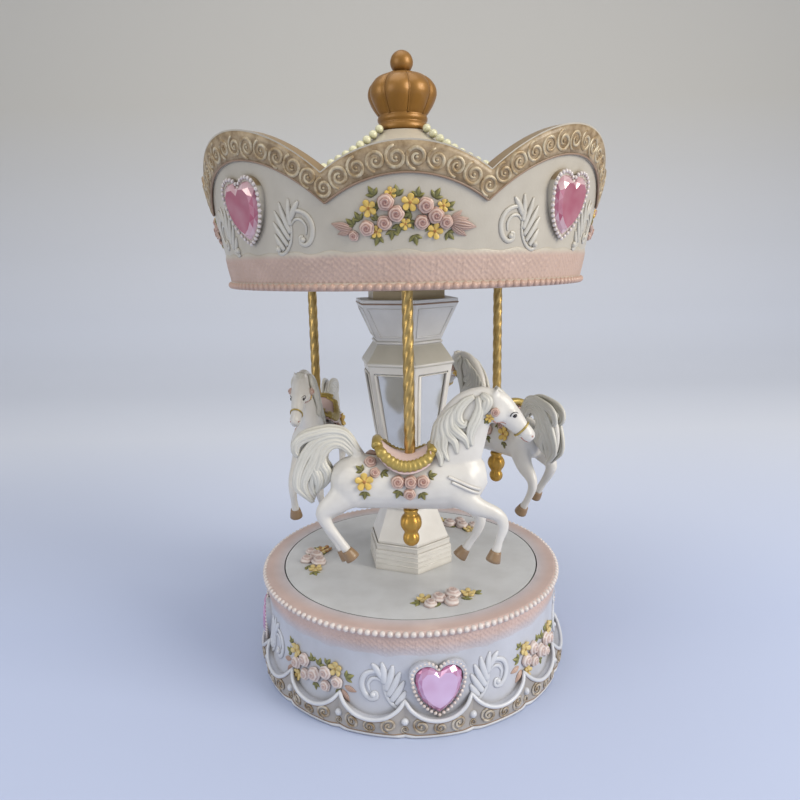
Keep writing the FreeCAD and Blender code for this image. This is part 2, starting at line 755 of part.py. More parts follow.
pad = box(frame_post_in, frame_post_out + post_thickness, frame_back_y - post_thickness,
    governor_y + post_half_width,
          bed_top, bed_top + frame_pad)
ears = [box(x, x + post_thickness, governor_y - 0.7 * post_half_width, governor_y + 0.7 * post_half_width,
            bed_top, train_z + 0.7 * post_half_width) for x in (frame_post_in, frame_post_out)]
back = box(worm_x - post_half_width, worm_x + post_half_width, frame_back_y - post_thickness, frame_back_y,
           bed_top, arm_z + frame_pad)
arm = box(worm_x - post_half_width, worm_x + post_half_width, frame_back_y - post_thickness,
    worm_y + post_half_width,
          arm_z, arm_z + frame_pad)
frame = fuse(pad, ears + [back, arm]).cut(governor_bore)
save("governor_frame", frame.cut(rod(spindle_radius + running_gap, bed_top - 1, arm_z + 5, worm_x, worm_y)))

# Drive rod: carries the turn from the barrel up through the column; a nut under the crown clamps the stack
save("drive_rod", rod(rod_radius, rod_foot, roof_top + rod_nut_height))
nut = Part.Face(Part.makePolygon([around(rod_nut_radius, 60 * k, roof_top) for k in range(7)]))
nut = nut.extrude(Vector(0, 0, rod_nut_height)).cut(rod(rod_bore, roof_top - 1, roof_top + 9))
save("rod_nut", nut)

# Turntable disc, flush with the rim, with its glued flower sprays
disc = rod(disc_radius, base_height - disc_thickness, base_height)
save("turntable_disc", disc.cut(rod(rod_bore, 0, base_height + 1)))
disc_sprays = []
for azimuth in disc_spray_azimuths:
    heads = []
    for k in range(disc_spray_roses):
        t = 2.0 * k / (disc_spray_roses - 1) - 1
        centre = around(disc_spray_circle - 1.2 * (k % 2),
            math.degrees(disc_spray_half_width * t / disc_spray_circle), base_height)
        heads.append(rose(centre, Z_AXIS, disc_rose_radius, 0))
    disc_sprays.append(facing(fuse(heads[0], heads[1:]), azimuth))
save("turntable_flower_sprays", *disc_sprays)


# Column: six-sided castings stacked on the rod
def hexagon(radius, z):
    return Part.makePolygon([around(radius, column_turn + 60 * k, z) for k in range(7)])


def hex_stack(z0, levels):
    """Six-sided stack; levels are (height, corner radius), a repeated height makes a step."""
    blocks = []
    for (za, ra), (zb, rb) in zip(levels, levels[1:]):
        if zb - za > 1e-6:
            blocks.append(Part.makeLoft([hexagon(ra, z0 + za), hexagon(rb, z0 + zb)], True, True))
    return fuse(blocks[0], blocks[1:]).cut(rod(rod_bore, z0 - 1, z0 + levels[-1][0] + 1))


h = pedestal_height
r = pedestal_radius
pedestal = hex_stack(base_height, (
    (0, r), (0.31 * h, 0.98 * r), (0.31 * h, 0.95 * r), (0.38 * h, 0.95 * r), (0.38 * h, 0.91 * r),
    (0.44 * h, 0.91 * r), (0.9 * h, 0.64 * r), (h, 0.64 * r)))
save("column_pedestal", pedestal)

shaft_z = base_height + pedestal_height
shaft = hex_stack(shaft_z, ((0, shaft_foot_radius), (shaft_height, shaft_head_radius)))


def panel(side, margin):
    """Corners of a framed panel on one tapered side, and the side's outward normal."""
    edges = []
    for corner in (side, side + 1):
        azimuth = column_turn + 60 * corner
        edges.append((around(shaft_foot_radius, azimuth, shaft_z),
            around(shaft_head_radius, azimuth, shaft_z + shaft_height)))
    (low_a, high_a), (low_b, high_b) = edges
    normal = (low_b - low_a).cross(high_a - low_a).normalize()
    corners = []
    for height in (1.6 * margin, shaft_height - 1.6 * margin):
        left = low_a + (high_a - low_a) * (height / shaft_height)
        right = low_b + (high_b - low_b) * (height / shaft_height)
        along = (right - left).normalize()
        corners.append((left + along * margin, right - along * margin))
    (a, b), (d, c) = corners
    return Part.Face(Part.makePolygon([a, b, c, d, a])), normal


mirrors = []
for side in range(6):
    face, normal = panel(side, mirror_frame)
    shaft = shaft.cut(face.extrude(normal * -mirror_depth))
    face, normal = panel(side, mirror_frame + seat_gap)
    face.translate(normal * -mirror_depth)
    mirrors.append(face.extrude(normal * mirror_thickness))
save("column_shaft", shaft)
save("column_mirrors", *mirrors)

capital_z = shaft_z + shaft_height
h = capital_height
capital = hex_stack(capital_z, (
    (0, 1.02 * shaft_head_radius), (0.06 * h, 1.02 * shaft_head_radius), (0.33 * h, capital_waist_radius),
    (0.37 * h, capital_waist_radius), (0.93 * h, capital_head_radius), (h, capital_head_radius)))
save("column_capital", capital)
h = cap_height
save("column_cap", hex_stack(capital_z + capital_height, (
    (0, cap_radius), (0.55 * h, cap_radius), (0.55 * h, 0.8 * cap_radius), (h, 0.8 * cap_radius))))

# Canopy valance: a flared wall with eight scallops, a raised border along them and a bead round the bottom
valance_rise = jewel_scallop_rise + 2.0
valance_points = (
    (valance_foot_radius, canopy_z),
    ((valance_foot_radius + valance_head_radius) / 2 - valance_sag, canopy_z + valance_rise / 2),
    (valance_head_radius, canopy_z + valance_rise))
valance_radius = arc_profile(*valance_points)


def scallop(half_angle, rise):
    """Front-facing prism under one scallop's arched edge."""
    edge_z = canopy_z + scallop_valley_rise
    half = 1.004 * (valance_radius(edge_z) + border_proud) * math.sin(math.radians(half_angle))
    face = outline(
        (-half, canopy_z - 20),
        (half, canopy_z - 20),
        (half, edge_z),
        ((0, canopy_z + rise), (-half, edge_z)))
    inner = 0.8 * valance_foot_radius
    return moved(slab(face, 1.3 * valance_head_radius - inner), 0, -inner, 0)


flower_scallop = scallop(scallop_valley_azimuth, flower_scallop_rise)
jewel_scallop = scallop(45.0 - scallop_valley_azimuth, jewel_scallop_rise)
scallops = []
for k in range(4):
    scallops.append(facing(flower_scallop, 90.0 * k))
    scallops.append(facing(jewel_scallop, 45.0 + 90.0 * k))
scalloped = scallops[0].multiFuse(scallops[1:])
border_zone = scalloped.cut(moved(scalloped, 0, 0, -border_height))
valance = wall_solid(valance_points, 0, -valance_wall).common(scalloped)
border = wall_solid(valance_points, border_proud, -valance_wall / 2).common(border_zone)
ledge_outer = valance_radius(canopy_z) - valance_wall / 2
ledge_inner = ledge_outer - valance_ledge_width - valance_wall / 2
ledge = rod(ledge_outer, canopy_z, ceiling_z).cut(rod(ledge_inner, 0, roof_top))
bead = Part.makeTorus(valance_radius(canopy_z) + 0.1, canopy_bead_radius,
    Vector(0, 0, canopy_z + canopy_bead_radius))
valance = fuse(valance, [border, ledge, bead])
heart_z = canopy_z + canopy_heart_rise
heart_tilt = math.degrees(math.atan(valance_radius(heart_z + 0.5) - valance_radius(heart_z - 0.5)))
valance, canopy_stones = set_hearts(
    valance, valance_radius(heart_z), heart_z, heart_tilt, [45.0 + 90.0 * k for k in range(4)])
save("canopy_valance", valance)
save("canopy_heart_stones", *canopy_stones)
save("canopy_flower_sprays", *roses_on_wall(
    valance_points, canopy_z + canopy_spray_rise, canopy_rose_radius, rose_count,
    [90.0 * k for k in range(4)]))

# Ceiling plate on the valance's ledge, with a blind socket for each pole
ceiling_radius = min(valance_radius(ceiling_z), valance_radius(ceiling_top)) - valance_wall - seat_gap
socket_radius = pole_radius + pole_socket_wall
sockets = []
holes = []
for azimuth in horse_azimuths:
    at = around(pole_circle, azimuth, 0)
    socket_top = ceiling_z + pole_socket_depth + pole_socket_wall
    sockets.append(rod(socket_radius, ceiling_z, socket_top, at.x, at.y))
    holes.append(rod(pole_radius + running_gap, ceiling_z - 1, ceiling_z + pole_socket_depth, at.x, at.y))
ceiling = fuse(rod(ceiling_radius, ceiling_z, ceiling_top), sockets)
for hole in holes + [rod(rod_bore, 0, roof_top)]:
    ceiling = ceiling.cut(hole)
save("canopy_ceiling", ceiling)

# Roof: a thin tent-shaped casting that stands on the ceiling inside the valance
roof_rim_radius = ceiling_radius - seat_gap
roof_mid = ((crown_seat_radius + roof_rim_radius) / 2, (roof_top + roof_rim_z) / 2 - roof_sag)
roof = revolve(outline(
    (rod_bore, roof_top - 1.5 * roof_wall),
    (rod_bore, roof_top),
    (crown_seat_radius, roof_top),
    (roof_mid, (roof_rim_radius, roof_rim_z)),
    (roof_rim_radius, ceiling_top),
    (roof_rim_radius - roof_wall, ceiling_top),
    (roof_rim_radius - roof_wall, roof_rim_z - roof_wall),
    ((roof_mid[0] - roof_wall / 2, roof_mid[1] - roof_wall),
        (crown_seat_radius, roof_top - 1.5 * roof_wall))))
save("canopy_roof", roof)

# Pearl strands: beads on a thread laid down the roof under each jewel scallop
slope = Part.Arc(
    Vector(0, -crown_seat_radius, roof_top),
    Vector(0, -roof_mid[0], roof_mid[1]),
    Vector(0, -roof_rim_radius, roof_rim_z)).toShape()
first, last = slope.ParameterRange
pearl_step = 0.93 / (pearls_in_strand - 1)
half_pearl = 0.53 * pearl_step * slope.Length
pearls = []
for k in range(pearls_in_strand):
    t = first + (last - first) * (0.035 + k * pearl_step)
    tangent = slope.tangentAt(t)
    normal = Vector(0, -tangent.z, tangent.y)
    if normal.z < 0:
        normal = normal * -1
    centre = slope.valueAt(t) + normal * (pearl_radius + running_gap)
    pearls.append(turned_facets(centre, tangent, 8, (
        (-half_pearl, 0.4 * pearl_radius), (-0.4 * half_pearl, pearl_radius),
        (0.4 * half_pearl, pearl_radius), (half_pearl, 0.4 * pearl_radius))))
strand = fuse(pearls[0], pearls[1:])
save("pearl_strands", *[facing(strand, 45.0 + 90.0 * k) for k in range(4)])

# Crown finial: a gadrooned bulb between a foot ring and a ball, hollowed for the rod's nut
ball_z = roof_top + crown_height - crown_ball_radius
neck_z = ball_z - 0.85 * crown_ball_radius
foot = revolve(outline(
    (0, roof_top),
    (crown_foot_radius, roof_top),
    ((crown_foot_radius + 0.7, roof_top + 0.05 * crown_height),
        (crown_foot_radius, roof_top + 0.1 * crown_height)),
    (0.95 * crown_foot_radius, roof_top + 0.12 * crown_height),
    (crown_foot_radius, roof_top + 0.2 * crown_height),
    (0, roof_top + 0.2 * crown_height)))
bulb_levels = ((0.18, 0.6), (0.32, 0.87), (0.48, 1.0), (0.61, 0.9), (0.7, 0.66), (0.765, 0.3))
bulb_wires = []
for height, width in bulb_levels:
    lobe = crown_radius * width
    bulb_wires.append(lobed_wire(crown_lobes, 0.88 * lobe, lobe, roof_top + height * crown_height, 0))
bulb = Part.makeLoft(bulb_wires, True, False)
neck = rod(0.5 * crown_ball_radius, roof_top + 0.6 * crown_height, ball_z)
ball = Part.makeSphere(crown_ball_radius, Vector(0, 0, ball_z))
crown = fuse(bulb, [foot, neck, ball])
save("crown_finial", crown.cut(rod(crown_hollow_radius, roof_top - 1, roof_top + crown_hollow_depth)))

# Poles hang from the ceiling and pass through the horses into the ball finials
finial_top = horse_z
ball_z = finial_top - finial_collar_radius / 2 - finial_ball_radius
tip_z = ball_z - 0.85 * (finial_ball_radius + finial_tip_radius)
pole_foot = ball_z
finial = rod(finial_collar_radius, ball_z, finial_top)
finial = finial.fuse(Part.makeSphere(finial_ball_radius, Vector(0, 0, ball_z)))
finial = finial.fuse(Part.makeSphere(finial_tip_radius, Vector(0, 0, tip_z))).removeSplitter()
finial = finial.cut(rod(pole_radius + running_gap, pole_foot, finial_top + 1))
pole = rod(pole_radius, pole_foot + seat_gap, ceiling_z + pole_socket_depth - seat_gap)


# Horse: one casting, lofted through oval sections. Its table is in hundredths of its length,
# from the pole at belly height: x forward, y to its left, z up, half width across, half depth.
def limb(*sections):
    unit = horse_length / 100.0
    centres = [Vector(s[0], s[1], s[2]) * unit for s in sections]
    wires = []
    for k, section in enumerate(sections):
        before = centres[max(k - 1, 0)]
        after = centres[min(k + 1, len(centres) - 1)]
        along = (after - before).normalize()
        across = (Vector(0, 1, 0) - along * along.y).normalize() * (section[3] * unit)
        deep = along.cross(across).normalize() * (section[4] * unit)
        ring = []
        for step in range(8):
            angle = math.pi * step / 4
            ring.append(centres[k] + across * math.cos(angle) + deep * math.sin(angle))
        curve = Part.BSplineCurve()
        curve.interpolate(Points=ring, PeriodicFlag=True)
        wires.append(Part.Wire(curve.toShape()))
    return Part.makeLoft(wires, True, False)


def hoof(x, y, z, lean):
    """Hoof under a fetlock, leaning back by lean hundredths over its height."""
    unit = horse_length / 100.0
    top = Vector(x, y, z) * unit
    down = Vector(lean, 0, -4.2).normalize()
    return Part.makeCone(2.2 * unit, 3.2 * unit, 4.2 * unit, top, down)


def horse_casting():
    unit = horse_length / 100.0
    trunk_sections = (
        (-39, 0, 17, 3.4, 4.2), (-35, 0, 15, 7.8, 9.8), (-23, 0, 12.6, 10.3, 11.6), (-8, 0, 11.3, 9.8, 10.7),
        (5, 0, 11, 10.0, 11.0), (17.5, 0, 12.2, 9.7, 12.2), (26.5, 0, 14.2, 7.6, 10.4), (32, 0, 15, 3.4, 4.8))
    trunk = limb(*trunk_sections)
    neck = limb((16, 0, 15, 7.4, 12), (20.5, 0, 26, 6.4, 10.6), (25.5, 0, 37, 5.0, 8.6),
        (31, 0, 46, 3.8, 6.0))
    head = limb((30, 0, 48, 3.2, 4.0), (36, 0, 43.6, 4.3, 6.2), (42.5, 0, 36.8, 3.6, 4.8),
                (47, 0, 31.6, 2.8, 3.6), (49.6, 0, 28.6, 2.0, 2.4))
    mane = limb((36, 0, 49.5, 1.8, 1.8), (30, 0, 50.5, 3.0, 3.2), (23, 0, 47, 3.6, 4.6),
        (17.5, 0, 40, 3.8, 5.6),
                (14, 0, 31.5, 3.4, 5.2), (12, 0, 23.5, 1.8, 2.6))
    tail = limb((-20, 0, 20, 2.8, 3.0), (-25.5, 0, 28.2, 3.4, 3.6), (-32.5, 0, 30.6, 3.8, 3.9),
        (-39.5, 0, 27.6, 4.0, 4.2),
                (-42.8, 0, 19.5, 4.0, 4.2), (-42.4, 0, 11, 3.2, 3.6), (-39.5, 0, 5, 1.6, 1.8))
    hind_outer = limb((-27, -5, 10, 4.6, 7.4), (-30, -6, 3, 3.6, 5.2), (-36, -6.2, -2.8, 2.5, 3.2),
                      (-36, -6.2, -8, 2.1, 2.4), (-32, -6.2, -14, 1.8, 1.9), (-28.6, -6.2, -18.6, 2.1, 2.2))
    hind_inner = limb((-27, 5, 10, 4.6, 7.4), (-31, 6, 1.5, 3.6, 5.0), (-37.5, 6.2, -5.5, 2.5, 3.1),
                      (-37.5, 6.2, -11, 2.1, 2.4), (-33.5, 6.2, -17, 1.8, 1.9), (-30.2, 6.2, -21.6, 2.1, 2.2))
    fore_outer = limb((18, -5, 9, 4.4, 6.6), (27, -5.8, 2.6, 3.2, 4.2), (36, -5.8, -1.6, 2.5, 3.0),
                      (38.6, -5.8, -6.5, 2.2, 2.6), (37, -5.8, -13, 1.8, 1.9), (35.4, -5.8, -18.6, 2.1, 2.2))
    fore_inner = limb((18, 5, 9, 4.4, 6.6), (24.8, 5.8, 0.4, 3.2, 4.0), (30, 5.8, -6.4, 2.4, 2.8),
                      (29.6, 5.8, -12, 2.1, 2.4), (26.4, 5.8, -17.6, 1.8, 1.9), (23.2, 5.8, -22.4, 2.1, 2.2))
    hooves = [hoof(-28.9, -6.2, -18.2, 3.0), hoof(-30.5, 6.2, -21.2, 2.8), hoof(35.5, -5.8, -18.2, -1.2),
              hoof(23.5, 5.8, -22.0, -3.0)]
    ears = []
    for side in (-1, 1):
        root = Vector(34.5, 2.4 * side, 46.5) * unit
        ears.append(Part.makeCone(1.7 * unit, 0.4 * unit, 6.0 * unit, root, Vector(0.3, 0.1 * side, 1)))
    blanket = limb(*[(x, y, z, across + 1.0, deep + 1.0) for x, y, z, across, deep in trunk_sections])
    blanket = blanket.common(box(-15.5 * unit, 11 * unit, -20 * unit, 20 * unit, 10 * unit, 40 * unit))
    arches = []
    for x, top in ((-15.5, 29.0), (8.5, 27.0)):
        arch = Part.makeCylinder(9.5 * unit, 2.5 * unit, Vector(x, 0, top - 9.5) * unit, Vector(1, 0, 0))
        arches.append(arch.common(box(-50 * unit, 50 * unit, -20 * unit, 20 * unit, 18 * unit, 40 * unit)))
    casting = trunk
    legs = [hind_outer, hind_inner, fore_outer, fore_inner]
    for piece in [neck, head, mane, tail, blanket] + legs + arches + hooves + ears:
        casting = casting.fuse(piece)
    return casting.cut(rod(pole_radius + seat_gap, -50, 100))


horse = horse_casting()
for k, azimuth in enumerate(horse_azimuths):
    at = around(pole_circle, azimuth, 0)
    save("pole_%d" % (k + 1), moved(pole, at.x, at.y, 0))
    save("pole_finial_%d" % (k + 1), moved(finial, at.x, at.y, 0))
    mount = horse.copy()
    mount.rotate(ORIGIN, Z_AXIS, azimuth + horse_yaws[k])
    save("horse_%d" % (k + 1), moved(mount, at.x, at.y, horse_z))
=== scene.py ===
import random
from math import atan, atan2, cos, degrees, hypot, pi, radians, sin, sqrt

import bmesh
import bpy
from mathutils import Matrix, Vector
from mathutils.bvhtree import BVHTree


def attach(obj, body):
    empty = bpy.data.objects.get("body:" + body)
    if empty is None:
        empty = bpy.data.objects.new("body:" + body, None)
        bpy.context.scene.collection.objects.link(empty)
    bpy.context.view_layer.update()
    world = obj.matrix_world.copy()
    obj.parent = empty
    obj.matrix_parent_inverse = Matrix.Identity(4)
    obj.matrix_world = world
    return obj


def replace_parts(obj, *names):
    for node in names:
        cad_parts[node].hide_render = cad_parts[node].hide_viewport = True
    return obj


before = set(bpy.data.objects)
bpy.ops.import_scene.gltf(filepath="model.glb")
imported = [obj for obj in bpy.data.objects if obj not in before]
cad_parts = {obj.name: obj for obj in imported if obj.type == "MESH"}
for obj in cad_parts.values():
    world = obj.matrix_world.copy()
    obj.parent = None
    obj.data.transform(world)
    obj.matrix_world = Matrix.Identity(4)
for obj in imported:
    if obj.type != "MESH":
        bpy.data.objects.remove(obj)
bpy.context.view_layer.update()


# Base casting: the drum of the box, polyresin cast in a rubber mould and sprayed with pearl lacquer.
# Its rim and lace band are tinted pink by brush and its lobed foot border antique gold.
# The movement is screwed up inside it.
def linear(code):
    """Linear colour of an sRGB hex value."""
    shares = [int(code[k:k + 2], 16) / 255 for k in (1, 3, 5)]
    return [s / 12.92 if s <= 0.04045 else ((s + 0.055) / 1.055) ** 2.4 for s in shares] + [1]


def settle(node, settings):
    """Set a shader node's attributes and sockets by name or number; a socket given as a value is linked."""
    for key, value in settings.items():
        if isinstance(key, str) and hasattr(node, key):
            setattr(node, key, value)
        elif isinstance(value, bpy.types.NodeSocket):
            node.id_data.links.new(value, node.inputs[key])
        else:
            node.inputs[key].default_value = value


def add(tree, kind, settings, take=0):
    """Add a shader node with its settings and links, and give one of its outputs."""
    made = tree.nodes.new("ShaderNode" + kind)
    settle(made, settings)
    return made.outputs[take]


def begin(name):
    """A new material with its tree and shader, and the place on the piece."""
    material = bpy.data.materials.new(name)
    material.use_nodes = True
    tree = material.node_tree
    return material, tree, tree.nodes["Principled BSDF"], add(tree, "TexCoord", {"name": "place"}, "Object")


pool_mm = 9
crease_mm = 2.2
thin_coat = "#9c9186"


def lacquer(name, colour, crease_shade_and_wash, rough, grain_mm=0.6, metallic=0.0):
    """Sprayed resin: a coat that pools unevenly, painted shade in the creases that ambient occlusion finds
    (the real brown in the hollows of the antiqued finishes), the mould's fine grain.
    """
    material, tree, shader, place = begin(name)
    pools = add(tree, "TexNoise", {"Vector": place, "Scale": 1000 / pool_mm, "Detail": 3.0})
    uneven = add(tree, "MapRange", {0: pools, 1: 0.35, 2: 0.7, 3: 0.0, 4: 0.16})
    coat = add(tree, "Mix", {"name": "coat", "data_type": "RGBA", "blend_type": "MULTIPLY", 0: uneven,
                             6: linear(colour), 7: linear(thin_coat)}, 2)
    # Painted shade: where ambient occlusion finds a crease the colour passes to the darker crease colour; on
    # the antique golds this is also the real brown left in the hollows.
    crease = add(tree, "AmbientOcclusion", {"samples": 6, "Distance": 0.001 * crease_mm}, "AO")
    crease_shade_share = add(tree, "MapRange", {0: crease, 1: 0.2, 2: 0.8, 3: 0.8, 4: 0.0})
    grain = add(tree, "TexNoise", {"Vector": place, "Scale": 1000 / grain_mm, "Detail": 2.0})
    settle(shader, {
        "Base Color": add(tree, "Mix", {"data_type": "RGBA", 0: crease_shade_share, 6: coat, 7: linear(crease_shade_and_wash)}, 2),
        "Normal": add(tree, "Bump", {"Strength": 0.25, "Distance": 0.0001, "Height": grain}),
        "Roughness": add(tree, "MapRange", {0: pools, 1: 0.3, 2: 0.7, 3: rough - 0.06, 4: rough + 0.08}),
        "Coat Weight": 0.3, "Coat Roughness": 0.22, "Metallic": metallic})
    return material


def coat_of(material):
    """Tree of a lacquer, the socket of its coat's colour, and the place on the piece."""
    tree = material.node_tree
    return tree, tree.nodes["coat"].inputs[6], tree.nodes["place"].outputs["Object"]


def by_height(material, low, high, below, above):
    """Let a lacquer pass from one colour to another between two heights in mm."""
    tree, coat, place = coat_of(material)
    z = add(tree, "SeparateXYZ", {0: place}, "Z")
    share = add(tree, "MapRange", {0: z, 1: 0.001 * low, 2: 0.001 * high})
    passed = add(tree, "Mix", {"data_type": "RGBA", 0: share, 6: linear(below), 7: linear(above)}, 2)
    tree.links.new(passed, coat)


def mottled(material, patch_mm, dark, light):
    """Let a lacquer show two colours rubbed over each other in soft patches."""
    tree, coat, place = coat_of(material)
    patch = add(tree, "TexNoise", {"Vector": place, "Scale": 1000 / patch_mm, "Detail": 4.0,
                                   "Roughness": 0.6})
    share = add(tree, "MapRange", {0: patch, 1: 0.38, 2: 0.62})
    rubbed = add(tree, "Mix", {"data_type": "RGBA", 0: share, 6: linear(dark), 7: linear(light)}, 2)
    tree.links.new(rubbed, coat)


def dress(material, *nodes):
    """Give CAD nodes a finish."""
    for name in nodes:
        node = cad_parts[name]
        if not node.material_slots:
            node.data.materials.append(material)
        for place in node.material_slots:
            place.material = material


# Pearl lacquer on cast resin: a soft milky white with a satin gloss, with painted shade making it greyer in
# the folds of the relief.
pearl_white = "#d8d5ce"
pearl_resin = lacquer("pearl_lacquered_polyresin", pearl_white, "#8f897e", 0.36)

# The same lacquer on the drum in a cooler, darker white, which is painted shade and painted bluish light from
# the floor, with the pink rim and the foot border's ground brushed on.
# Height, radius and azimuth say where, in metres: the rim from its zone up, the foot below its lobed edge.
shaded_drum_white, rim_pink, border_ground = "#bec1ca", "#c6aca3", "#a7a29d"
rim_zone, rim_fade = (0.0272, 0.0284), (0.0462, 0.0525)
foot_low, foot_rise, foot_curl, foot_inside = 0.0065, 0.0048, 0.0012, 0.0535
lobe_count, lobe_turn = 16, 8.0
tinted_resin = lacquer("pearl_lacquered_polyresin_hand_tinted", shaded_drum_white, "#8d8a87", 0.36)
tree, coat, place = coat_of(tinted_resin)
spot = add(tree, "SeparateXYZ", {0: place}).node.outputs
back = add(tree, "Math", {"operation": "MULTIPLY", 0: spot["Y"], 1: -1.0})
angle = add(tree, "Math", {"operation": "ARCTAN2", 0: spot["X"], 1: back})
turns = add(tree, "Math", {"operation": "MULTIPLY_ADD", 0: angle, 1: lobe_count / (2 * pi),
                           2: 100.5 - lobe_turn * lobe_count / 360})
share = add(tree, "Math", {"operation": "FRACT", 0: turns})
share = add(tree, "Math", {"operation": "MULTIPLY_ADD", 0: share, 1: 2.0, 2: -1.0})
square = add(tree, "Math", {"operation": "MULTIPLY", 0: share, 1: share})
steeper = add(tree, "Math", {"operation": "MULTIPLY_ADD", 0: square, 1: foot_curl, 2: foot_rise})
edge = add(tree, "Math", {"operation": "MULTIPLY_ADD", 0: square, 1: steeper, 2: foot_low})
under = add(tree, "Math", {"operation": "SUBTRACT", 0: edge, 1: spot["Z"]})
below_edge = add(tree, "MapRange", {0: under, 1: 0.0001, 2: 0.0004})
flat = add(tree, "CombineXYZ", {"X": spot["X"], "Y": spot["Y"]})
reach = add(tree, "VectorMath", {"operation": "LENGTH", 0: flat}, "Value")
outside = add(tree, "MapRange", {0: reach, 1: foot_inside, 2: foot_inside + 0.0005})
foot = add(tree, "Math", {"operation": "MULTIPLY", 0: below_edge, 1: outside})
upper = add(tree, "MapRange", {0: spot["Z"], 1: rim_zone[0], 2: rim_zone[1]})
faded = add(tree, "MapRange", {0: reach, 1: rim_fade[0], 2: rim_fade[1], 3: 0.1, 4: 0.95})
rim = add(tree, "Math", {"operation": "MULTIPLY", 0: upper, 1: faded})
pinked = add(tree, "Mix", {"data_type": "RGBA", 0: rim, 6: linear(shaded_drum_white), 7: linear(rim_pink)}, 2)
bordered = add(tree, "Mix", {"data_type": "RGBA", 0: foot, 6: pinked, 7: linear(border_ground)}, 2)
tree.links.new(bordered, coat)
dress(tinted_resin, "base_shell")
# The drum's white on its shallow relief, cool like the drum's as painted bluish floor light, with only faint
# painted shade beside the ridges.
relief_resin = lacquer("pearl_lacquered_polyresin_relief", "#cdd0d6", "#adadb0", 0.36)


# Foot border: a row of spiral rosettes in relief between a rolled white lip and a thin brown line.
# It is part of the casting; the spirals are picked out with antique gold rubbed over brown.
class Heap:
    """Points and faces of one piece in millimetres, with a shade from 0 to 1 at each point."""

    def __init__(self):
        self.points, self.faces, self.shades, self.paints = [], [], [], []

    def take(self, points, faces, shade=0.0, paint=0):
        start = len(self.points)
        self.points += points
        self.faces += [[start + k for k in face] for face in faces]
        self.shades += shade if isinstance(shade, list) else [shade] * len(points)
        self.paints += [paint] * len(faces)

    def mesh(self, name, materials):
        mesh = bpy.data.meshes.new(name)
        mesh.from_pydata([[c * 0.001 for c in p] for p in self.points], [], self.faces)
        mesh.polygons.foreach_set("use_smooth", [True] * len(mesh.polygons))
        mesh.polygons.foreach_set("material_index", self.paints)
        mesh.attributes.new("shade", "FLOAT", "POINT").data.foreach_set("value", self.shades)
        for material in materials:
            mesh.materials.append(material)
        whole = bmesh.new()
        whole.from_mesh(mesh)
        bmesh.ops.recalc_face_normals(whole, faces=whole.faces)
        whole.to_mesh(mesh)
        whole.free()
        return mesh


def show(name, data):
    """Put a mesh, a lamp or a camera into the scene."""
    made = bpy.data.objects.new(name, data)
    bpy.context.scene.collection.objects.link(made)
    return made


def piece(name, mesh, body, matrix=None):
    """Show a mesh on the body that carries it."""
    made = show(name, mesh)
    if matrix:
        made.matrix_world = matrix
    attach(made, body)
    return made


def cast(name, heap, materials, body):
    """Piece made of one heap."""
    return piece(name, heap.mesh(name, materials), body)


def bowed(low, middle, high):
    """Radius at a height on a wall whose profile is an arc through three (radius, height) points."""
    (a, p), (b, q), (c, s) = low, middle, high
    d = 2 * (a * (q - s) + b * (s - p) + c * (p - q))
    x = ((a * a + p * p) * (q - s) + (b * b + q * q) * (s - p) + (c * c + s * s) * (p - q)) / d
    y = ((a * a + p * p) * (c - b) + (b * b + q * q) * (a - c) + (c * c + s * s) * (b - a)) / d
    reach = hypot(a - x, p - y)
    side = 1 if x > a else -1
    return lambda z, azimuth=0.0: x - side * sqrt(max(reach * reach - (z - y) ** 2, 0))


def around(reach, azimuth, z=0.0):
    """Point at a radius, an azimuth in degrees from the front, and a height."""
    turn = radians(azimuth)
    return Vector((reach * sin(turn), -reach * cos(turn), z))


def stand(wall, azimuth, z, lift=0.0):
    """Point lift mm out from a wall at an azimuth from the front, and the outward direction there."""
    lean = atan((wall(z + 0.25, azimuth) - wall(z - 0.25, azimuth)) / 0.5)
    radial = around(1, azimuth)
    out = radial * cos(lean) - Vector((0, 0, sin(lean)))
    return radial * wall(z, azimuth) + Vector((0, 0, z)) + out * lift, out


def drawn(wall, azimuth, z, path, lift):
    """A flat drawing, (across, up) in mm, bent onto a wall."""
    reach = wall(z, azimuth)
    return [stand(wall, azimuth + degrees(u / reach), z + v, lift) for u, v in path]


def faces_round(rows, sides, looped=False):
    """Faces over rows of points round a form, capped at both ends unless the rows close on themselves."""
    faces = []
    for k in range(rows if looped else rows - 1):
        for j in range(sides):
            n, m = (j + 1) % sides, (k + 1) % rows
            faces.append((k * sides + j, k * sides + n, m * sides + n, m * sides + j))
    if not looped:
        faces.append(tuple(range(sides)))
        faces.append(tuple((rows - 1) * sides + j for j in range(sides)))
    return faces


def roll(heap, line, width, press=0.8, sides=6, paint=0, closed=False):
    """Rounded strip along (point, outward) pairs; its half width may follow the share of its length."""
    points = []
    count = len(line)
    for k, (at, out) in enumerate(line):
        if closed:
            along = line[(k + 1) % count][0] - line[k - 1][0]
        else:
            along = line[min(k + 1, count - 1)][0] - line[max(k - 1, 0)][0]
        across = along.cross(out).normalized()
        up = across.cross(along).normalized()
        half = width(k / max(count - 1, 1)) if callable(width) else width
        for j in range(sides):
            turn = 2 * pi * j / sides
            points.append(at + across * (cos(turn) * half) + up * (sin(turn) * half * press))
    heap.take(points, faces_round(count, sides, closed), paint=paint)


def hoop(heap, wall, ring, height_of, lift, half, press=1.0, sides=6):
    """Rounded strip all the way round a wall, at a height for each azimuth."""
    roll(heap, [stand(wall, a, height_of(a), lift) for a in ring], half, press, sides, closed=True)


